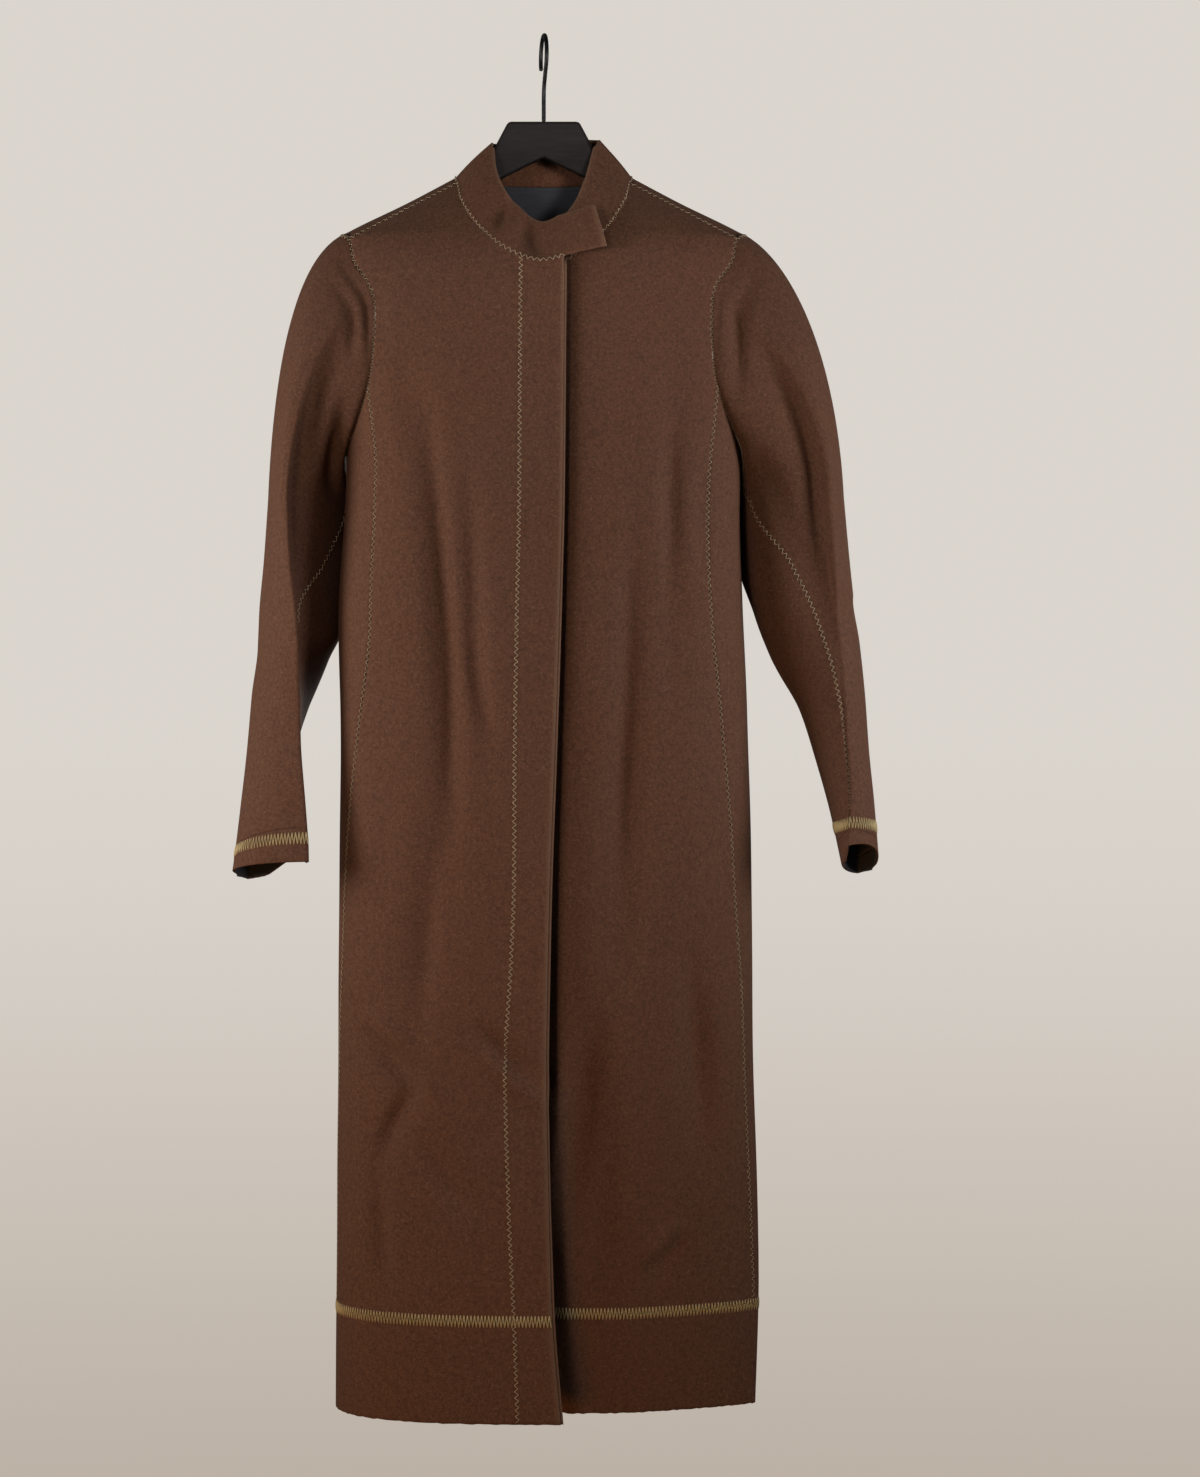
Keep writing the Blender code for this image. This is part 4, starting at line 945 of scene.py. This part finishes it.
def sleeveBare(side, around, along):  # along is 0 at the armhole, 1 at the tube's top, 2 at the cuff's end
    around, along = alike(around, along)
    around = halfTurns(around)
    cap = sleeveCap(side, around, np.clip(along, 0, 1))
    tubeZ = mix(cut["sleeveTopZ"], sleeveTables[side]["z"][0], np.clip(along, 1, 2) - 1)
    return np.where(along[..., None] < 1, cap, sleeveRing(side, around, tubeZ))


def sleeveOut(side, around, along, surface):  # unit normals of a sleeve's surface, from small steps
    along = np.clip(along, sleeveSizes["slopeEnd"], 2 - sleeveSizes["slopeEnd"])
    return side * facing(lambda u, v: surface(side, u, v), around, along, *sleeveSizes["slopeSteps"])


def sleeveDown(along):  # millimetres down a sleeve
    return cut["capLength"] * np.minimum(along, 1) + cut["tubeLength"] * np.maximum(along - 1, 0)


def sleeveShape(side, around, along):  # the bare sleeve pushed by its folds, laid out flat to place them
    around, along = alike(around, along)
    push = np.zeros_like(along)
    pastRidge, span = (around - ridge["front"]) % 360, 360 - ridge["front"] + ridge["back"]
    inside = ease(0, sleeveSizes["ridgeFade"], pastRidge) * (pastRidge < span)
    outside = ease(0, sleeveSizes["ridgeFade"], 360 - pastRidge) * (pastRidge >= span)
    for foldSide, start, startAlong, end, endAlong, *form in rowsOf(sleeveFoldTable):
        if foldSide != side:
            continue
        low, high = sorted((start, end))
        near = inside if low > ridge["front"] else outside if high < ridge["front"] else 1
        x, reach = halfTurns(around - start) * cut["sleeveRound"], (end - start) * cut["sleeveRound"]
        line = 0, sleeveDown(startAlong), reach, sleeveDown(endAlong)
        push = push + near * creaseBell(x, sleeveDown(along), *line, *form)
    return sleeveBare(side, around, along) + push[..., None] * sleeveOut(side, around, along, sleeveBare)


def sleeveWall(name, side, around, along, ring=False):  # a wall thinned by a bell at each ridge
    outer = sleeveShape(side, around, along)
    bare = alike(around, along)
    out = sleeveOut(side, *bare, sleeveShape)
    fromRidge = np.minimum(*[np.abs(halfTurns(bare[0] - place)) for place in ridge.values()])
    near = np.exp(-(fromRidge / sleeveSizes["ridgeWidth"]) ** 2)
    thick = cloth["wall"] * (1 - sleeveSizes["ridgeThin"] * near)
    return clothWall(name, outer, out, thick[..., None], ring)


cuffStart = 2 - cut["cuffLength"] / cut["tubeLength"]
cuffSlant = {  # places where the raw edge is cut short, by how much, and how the wide stitch lies
    right: {"trims": ((165.0, 11.0),), "band": 4.5, "tilt": 4.5, "seamEnd": cuffStart - 0.02},
    left: {"trims": ((15.0, 12.0),), "band": -14.0, "tilt": 7.0, "seamEnd": cuffStart - 0.055},
}


def cuffEdge(side, around):  # the sleeve's end less each trim * cosine of the angle from its place
    trims = cuffSlant[side]["trims"]
    short = sum(size * np.maximum(np.cos(np.radians(around - place)), 0) for place, size in trims)
    return 2 - short / cut["tubeLength"]


def cuffBand(side, around):  # the cuff's seam, lower by band + tilt * cosine from the front ridge
    slant = cuffSlant[side]
    down = slant["band"] + slant["tilt"] * np.cos(np.radians(around - ridge["front"]))
    return cuffStart + down / cut["tubeLength"]


along = np.concatenate([np.linspace(0, 1, sleeveSizes["capRows"])[:-1],
                        np.linspace(1, cuffStart, sleeveSizes["tubeRows"])])[:, None]
seamBack = tableAt(sleeveSeamTable, "back", along, "along")


def steps(places, counts):  # columns from place to place, so that each ridge has one of its own
    parts = [mix(a, b, np.linspace(0, 1, n)[(1 if i else 0):]) for i, (a, b, n)
             in enumerate(zip(places[:-1], places[1:], counts))]
    return np.concatenate([np.broadcast_to(p, (len(along), p.shape[-1])) for p in parts], 1)


for side, word in sides:
    seamFront = tableAt(sleeveSeamTable, word, along, "along")
    around = steps((seamBack, ridge["back"], ridge["front"], seamFront), sleeveSizes["upperColumns"])
    piece = sleeveWall("sleeve_" + word + "_upper", side, around, along)
    dress(piece, [wool, lining], sleeveSizes["upperCut"])
    share = np.linspace(0, 1, sleeveSizes["underColumns"])
    piece = sleeveWall("sleeve_" + word + "_under", side, mix(seamFront, seamBack + 360, share), along)
    dress(piece, [wool, lining], sleeveSizes["underCut"])
    outside, inside = sleeveSizes["cuffColumns"]
    around = np.concatenate([np.linspace(ridge["back"], ridge["front"], outside)[:-1],
                             np.linspace(ridge["front"], ridge["back"] + 360, inside)[:-1]])
    cuffAlong = mix(cuffStart, cuffEdge(side, around), np.linspace(0, 1, sleeveSizes["cuffRows"])[:, None])
    piece = sleeveWall("cuff_" + word, side, around, cuffAlong, ring=True)
    dress(piece, [wool, lining], sleeveSizes["cuffCut"])
print("sleeves made")

# Stitching: legs of thread from side to side of a seam, each a bent bar that dives in at both ends

stitches = {
    "seam": {"pitch": 5.8, "width": 3.6, "thread": 0.34, "lift": 0.18, "arch": 0.4, "sink": 0.35},
    "wide": {"pitch": 3.3, "width": 11.0, "thread": 0.5, "lift": 0.05, "arch": 0.6, "sink": 0.35},
}
stitchPoints = {"shoulder": 120, "armhole": 400, "panel": 600, "sleeve": 500, "cuff": 300, "fly": 700,
                "hem": 300}
stitchEnds = {"shoulder": 0.01, "capNear": 0.05, "panelUp": 7.0, "sleeve": 0.02, "rightFront": 1.33,
              "flyUp": 2.0, "flyTop": 3.0, "neckUp": 30.0, "neckOut": 0.3, "hem": {right: 1.0, left: 6.0}}


def zigzag(path, out, stitch):  # knots step along the path by half a pitch, to one side and the other
    length = runOf(path)
    count = int(length[-1] / (stitch["pitch"] / 2))
    s = np.linspace(0, length[-1], count + 1)
    centre = np.stack([np.interp(s, length, path[:, k]) for k in range(3)], -1)
    normal = unit(np.stack([np.interp(s, length, out[:, k]) for k in range(3)], -1))
    sideways = unit(np.cross(normal, np.gradient(centre, axis=0)))
    swing = np.where(np.arange(count + 1) % 2 == 0, 0.5, -0.5)[:, None] * stitch["width"]
    knots = centre + swing * sideways + stitch["lift"] * normal
    t = np.linspace(0, 1, 4)[None, :, None]
    a, b, n = knots[:-1, None], knots[1:, None], normal[:-1, None]
    bar = a + (b - a) * t + n * stitch["arch"] * (np.sin(np.pi * t) - stitch["sink"])
    edge1 = unit(np.cross(n, b - a))
    ring = np.stack([edge1, n, -edge1, -n], 2) * stitch["thread"]
    return bar[:, :, None] + ring


def threadMesh(name, bars, finish):  # every bar's four sides and two ends, as one mesh
    count = len(bars)
    one = np.concatenate([gridQuads(4, 4, True), [[3, 2, 1, 0]], [[12, 13, 14, 15]]])
    first = bars[0].reshape(-1, 3)
    one = outward(one, first, 0, first[one[0]].mean(0) - first[:8].mean(0))
    quads = (np.arange(count) * 16)[:, None, None] + one[None]
    piece = putMesh(name, bars.reshape(-1, 3), quads.reshape(-1, 4))
    dress(piece, [finish])


def onBody(theta, z, side=right, inset=None):  # points and directions of a line on the coat
    points, out = bodyShape(theta, z, side), bodyOut(theta, z, side)
    if inset is not None:
        points = points - inset(points)[:, None] * out
    return points, out


def onSleeve(side, around, along):  # the same for a line on a sleeve
    return sleeveShape(side, around, along), sleeveOut(side, around, along, sleeveShape)


bars = {"seam": [], "wide": []}


def sew(kind, points, out):  # a line of that kind of stitch
    bars[kind].append(zigzag(points, out, stitches[kind]))


for side in (right, left):
    share = np.linspace(stitchEnds["shoulder"], 1, stitchPoints["shoulder"])
    height = mix(neckZ, endZ, share)
    angle = turned(side, angleOf(mix(neckX, endX, share), height))
    sew("seam", *onBody(angle, height, side))
    around = np.linspace(-179, 180, stitchPoints["armhole"])
    angle, height = armhole(around)
    points, out = onBody(turned(side, angle), height, side)
    out = unit(out + sleeveOut(side, around, np.full_like(around, stitchEnds["capNear"]), sleeveShape))
    sew("seam", points, out)
    z = np.linspace(cut["hemSeamZ"] + stitchEnds["panelUp"], notchZ, stitchPoints["panel"])
    sew("seam", *onBody(turned(side, frontSeam(side, z)), z, side))
    sew("seam", *onBody(turned(side, backSeam(z)), z, side))
    seamEnd = cuffSlant[side]["seamEnd"]
    frontRun = ("right", stitchEnds["rightFront"]) if side < 0 else ("left", seamEnd)
    for name, end in frontRun, ("back", seamEnd):
        run = np.linspace(stitchEnds["sleeve"], end, stitchPoints["sleeve"])
        sew("seam", *onSleeve(side, tableAt(sleeveSeamTable, name, run, "along"), run))
    around = np.linspace(0, 360, stitchPoints["cuff"])
    sew("wide", *onSleeve(side, around, cuffBand(side, around)))
lowEnd, highEnd = cut["hemZ"] + stitchEnds["flyUp"], cut["neckFrontZ"] + stitchEnds["flyTop"]
z = np.linspace(lowEnd, highEnd, stitchPoints["fly"])
stitchX = tableAt(frontEdgeTable, "stitch", z)
sew("seam", *onBody(turned(left, angleOf(stitchX - bodyAt("shift", z), z)), z))
neckUp = np.full(len(neckSeam), stitchEnds["neckUp"])
neckOut = unit(np.stack([neckSeam[:, 0], neckSeam[:, 1] - cut["neckAxisY"], neckUp], -1))
sew("seam", neckSeam + stitchEnds["neckOut"] * neckOut, neckOut)
hemZ, count = cut["hemSeamZ"], stitchPoints["hem"]
for side in (right, left):
    edge = angleOf(frontEdge(side, hemZ) + stitchEnds["hem"][side], hemZ, side)
    angle = turned(side, np.linspace(edge, backSeam(hemZ), count))
    sew("wide", *onBody(angle, np.full(count, hemZ), side, lambda p: underlap(side, p)))
angle = np.linspace(backSeam(hemZ), -180 - backSeam(hemZ), count)
sew("wide", *onBody(angle, np.full(count, hemZ)))
for kind, colour in ("seam", "beige"), ("wide", "gold"):
    finish = threadMaterial(colour + "Thread", *threadLook[colour])
    threadMesh(kind + "_stitches", np.concatenate(bars[kind]), finish)
    print(kind, "stitches:", sum(map(len, bars[kind])))

# Hanger and hook

hookSizes = {"wire": 4.0, "bend": 18.0, "sides": 20, "lean": -0.16, "crook": (228, -28, 72),
             "points": 150, "taper": 0.55,
             "stem": ((0, -80.6), (0, -70), (0, -60), (-0.6, -53), (-3, -46.5), (-7, -41))}


def hookMesh():  # a round profile carried along the stem and the crook, and the line it follows
    turn = np.radians(np.linspace(*hookSizes["crook"]))
    bend = hookSizes["bend"] + hookSizes["wire"] / 2
    crook = np.stack([bend * np.cos(turn), bend * np.sin(turn) - hookSizes["bend"]], -1)
    rough = np.concatenate([np.array(hookSizes["stem"], float), crook])
    length = runOf(rough)
    s = np.linspace(0, length[-1], hookSizes["points"])
    flat = np.stack([smoothCurve(length, rough[:, k], s) for k in range(2)], -1)
    path = np.stack([hookSizes["lean"] * flat[:, 0], flat[:, 0], flat[:, 1]], -1)
    along = unit(np.gradient(path, axis=0))
    across = unit(np.cross(along, np.array([1.0, -hookSizes["lean"], 0.0])))
    third = np.cross(along, across)
    angle = np.linspace(0, 2 * np.pi, hookSizes["sides"] + 1)[:-1][None, :, None]
    taper = np.ones(len(path))
    taper[[0, -1]] = hookSizes["taper"]
    ring = (np.cos(angle) * across[:, None] + np.sin(angle) * third[:, None]) * hookSizes["wire"] / 2
    return path[:, None] + ring * taper[:, None, None], path


points, path = hookMesh()
rows, cols = points.shape[:2]
flatPoints = np.concatenate([points.reshape(-1, 3), path[[0, -1]]])
fan = np.arange(0, cols, 2)
startCap = np.stack([np.full(len(fan), rows * cols), (fan + 2) % cols, fan + 1, fan], -1)
endCap = np.stack([np.full(len(fan), rows * cols + 1), fan, fan + 1, (fan + 2) % cols], -1)
endCap[:, 1:] += (rows - 1) * cols
quads = np.concatenate([gridQuads(rows, cols, True), startCap, endCap])
low = 5  # a ring of the stem
quads = outward(quads, flatPoints, low * cols, points[low, 0] - path[low])
hook = putMesh("hook_wire", flatPoints, quads)
dress(hook, [metalMaterial("blackWire")])
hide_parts("hook")
blackWood = woodMaterial("blackWood")
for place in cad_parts["hanger"].material_slots:
    place.material = blackWood
print("hanger and hook done")

# Stage, light and camera

stageLook = {
    "floorZ": -1.95, "floorRadius": 2.2, "floorFade": (2.3, 2.9), "floorColour": (0.72, 0.69, 0.65),
    "wallTop": (0.705, 0.665, 0.615), "wallShadedLow": (0.47, 0.40, 0.335), "wallShadeRise": (-0.33, 0.02),
    "roomBack": (0.10, 0.098, 0.095), "roomFront": (0.06, 0.058, 0.056), "roomTurn": (-0.75, 0.15),
    "roomFloor": 0.5, "roomRise": (-0.9, 0.1), "roomLeft": 0.25, "roomStrength": 0.85,
}
corner = np.array([[-1, -1], [1, -1], [1, 1], [-1, 1]]) * stageLook["floorRadius"]
corner = np.concatenate([corner, np.full((4, 1), stageLook["floorZ"])], 1)
floor = putMesh("floor", corner / mm, np.array([[0, 1, 2, 3]]))
fixed = {"Base Color": rgba(stageLook["floorColour"]), "Roughness": 0.8}
made, wire, shader, place = newMaterial("paleFloor", fixed)
far = wire.node("VectorMath", {"operation": "LENGTH"}, {0: place}, "Value")
clear = wire.node("BsdfTransparent")
lit = Wire(wire.tree, shader.outputs[0])
fade = wire.node("MixShader", None, {0: far.clip(*stageLook["floorFade"]), 1: lit, 2: clear})
wire.tree.links.new(fade.socket, wire.tree.nodes["Material Output"].inputs["Surface"])
floor.data.materials.append(made)

world = bpy.data.worlds.new("studio")
bpy.context.scene.world = world
world.use_nodes = True
tree = world.node_tree
tree.nodes.clear()
wire = Wire(tree)
sideways, backward, upward = wire.node("TexCoord", out="Generated").split()
# the backdrop the camera sees: the wall colour darker towards the bottom, painted shade
lowRise, highRise = stageLook["wallShadeRise"]
rise = wire.node("MapRange", {"interpolation_type": "SMOOTHSTEP"}, {0: upward, 1: lowRise, 2: highRise})
wall = wire.blend(rise, rgba(stageLook["wallShadedLow"]), rgba(stageLook["wallTop"]))
seen = wire.node("Background", None, {"Color": wall, "Strength": 1.0})
turn = backward.clip(*stageLook["roomTurn"])
room = wire.blend(turn, rgba(stageLook["roomFront"]), rgba(stageLook["roomBack"]))
strength = mix(stageLook["roomFloor"], 1.0, upward.clip(*stageLook["roomRise"]))
strength = strength * (1 - sideways * stageLook["roomLeft"])
ambient = wire.node("Background", None, {"Color": room, "Strength": strength * stageLook["roomStrength"]})
isCamera = wire.node("LightPath", out="Is Camera Ray")
both = wire.node("MixShader", None, {0: isCamera, 1: ambient, 2: seen})
output = tree.nodes.new("ShaderNodeOutputWorld")
tree.links.new(both.socket, output.inputs["Surface"])

lamps = {  # place, target, size, spread, power, colour
    "key": ((-1.20, -0.52, -0.46), (0, 0, -0.5), 0.6, 100, 4.3, (1.0, 0.985, 0.96)),
    "side": ((1.20, -0.52, -0.46), (0, 0, -0.5), 0.6, 100, 4.3, (0.98, 0.99, 1.0)),
    "fill": ((-0.9, -2.2, -0.3), (0, 0, -0.65), 0.5, 80, 2.2, (1.0, 1.0, 1.0)),
    "neck": ((0.40, -1.3, -0.28), (0, 0, -0.14), 0.2, 24, 0.11, (1.0, 1.0, 1.0)),
    "low": ((-0.7, -1.3, -1.75), (0, 0, -1.25), 0.6, 110, 2.3, (1.0, 0.5, 0.10)),
    "behind": ((0.5, 2.2, -0.1), (0, 0, -0.65), 1.0, 80, 4.0, (1.0, 0.99, 0.97)),
}


def aimed(name, data, at, to):  # an object at a point, turned so that its -Z looks at another
    made = bpy.data.objects.new(name, data)
    bpy.context.scene.collection.objects.link(made)
    made.location = at
    made.rotation_euler = (Vector(to) - Vector(at)).to_track_quat("-Z", "Y").to_euler()
    return made


for name, (at, to, size, spread, power, colour) in lamps.items():
    light = bpy.data.lights.new(name, "AREA")
    light.shape, light.size, light.energy, light.color = "DISK", size, power, colour
    light.spread = np.radians(spread)
    aimed(name, light, at, to).visible_camera = False

view = {"at": (0.054, -2.8, -0.6725), "to": (0.054, 0.0, -0.6725), "lens": 71.1, "sensor": 36.0}
camera = bpy.data.cameras.new("camera")
camera.sensor_fit, camera.sensor_width, camera.lens = "AUTO", view["sensor"], view["lens"]
bpy.context.scene.camera = aimed("camera", camera, view["at"], view["to"])
bpy.context.scene.view_settings.view_transform = "Standard"
bpy.context.scene.view_settings.look = "None"

print("stage, light and camera done")
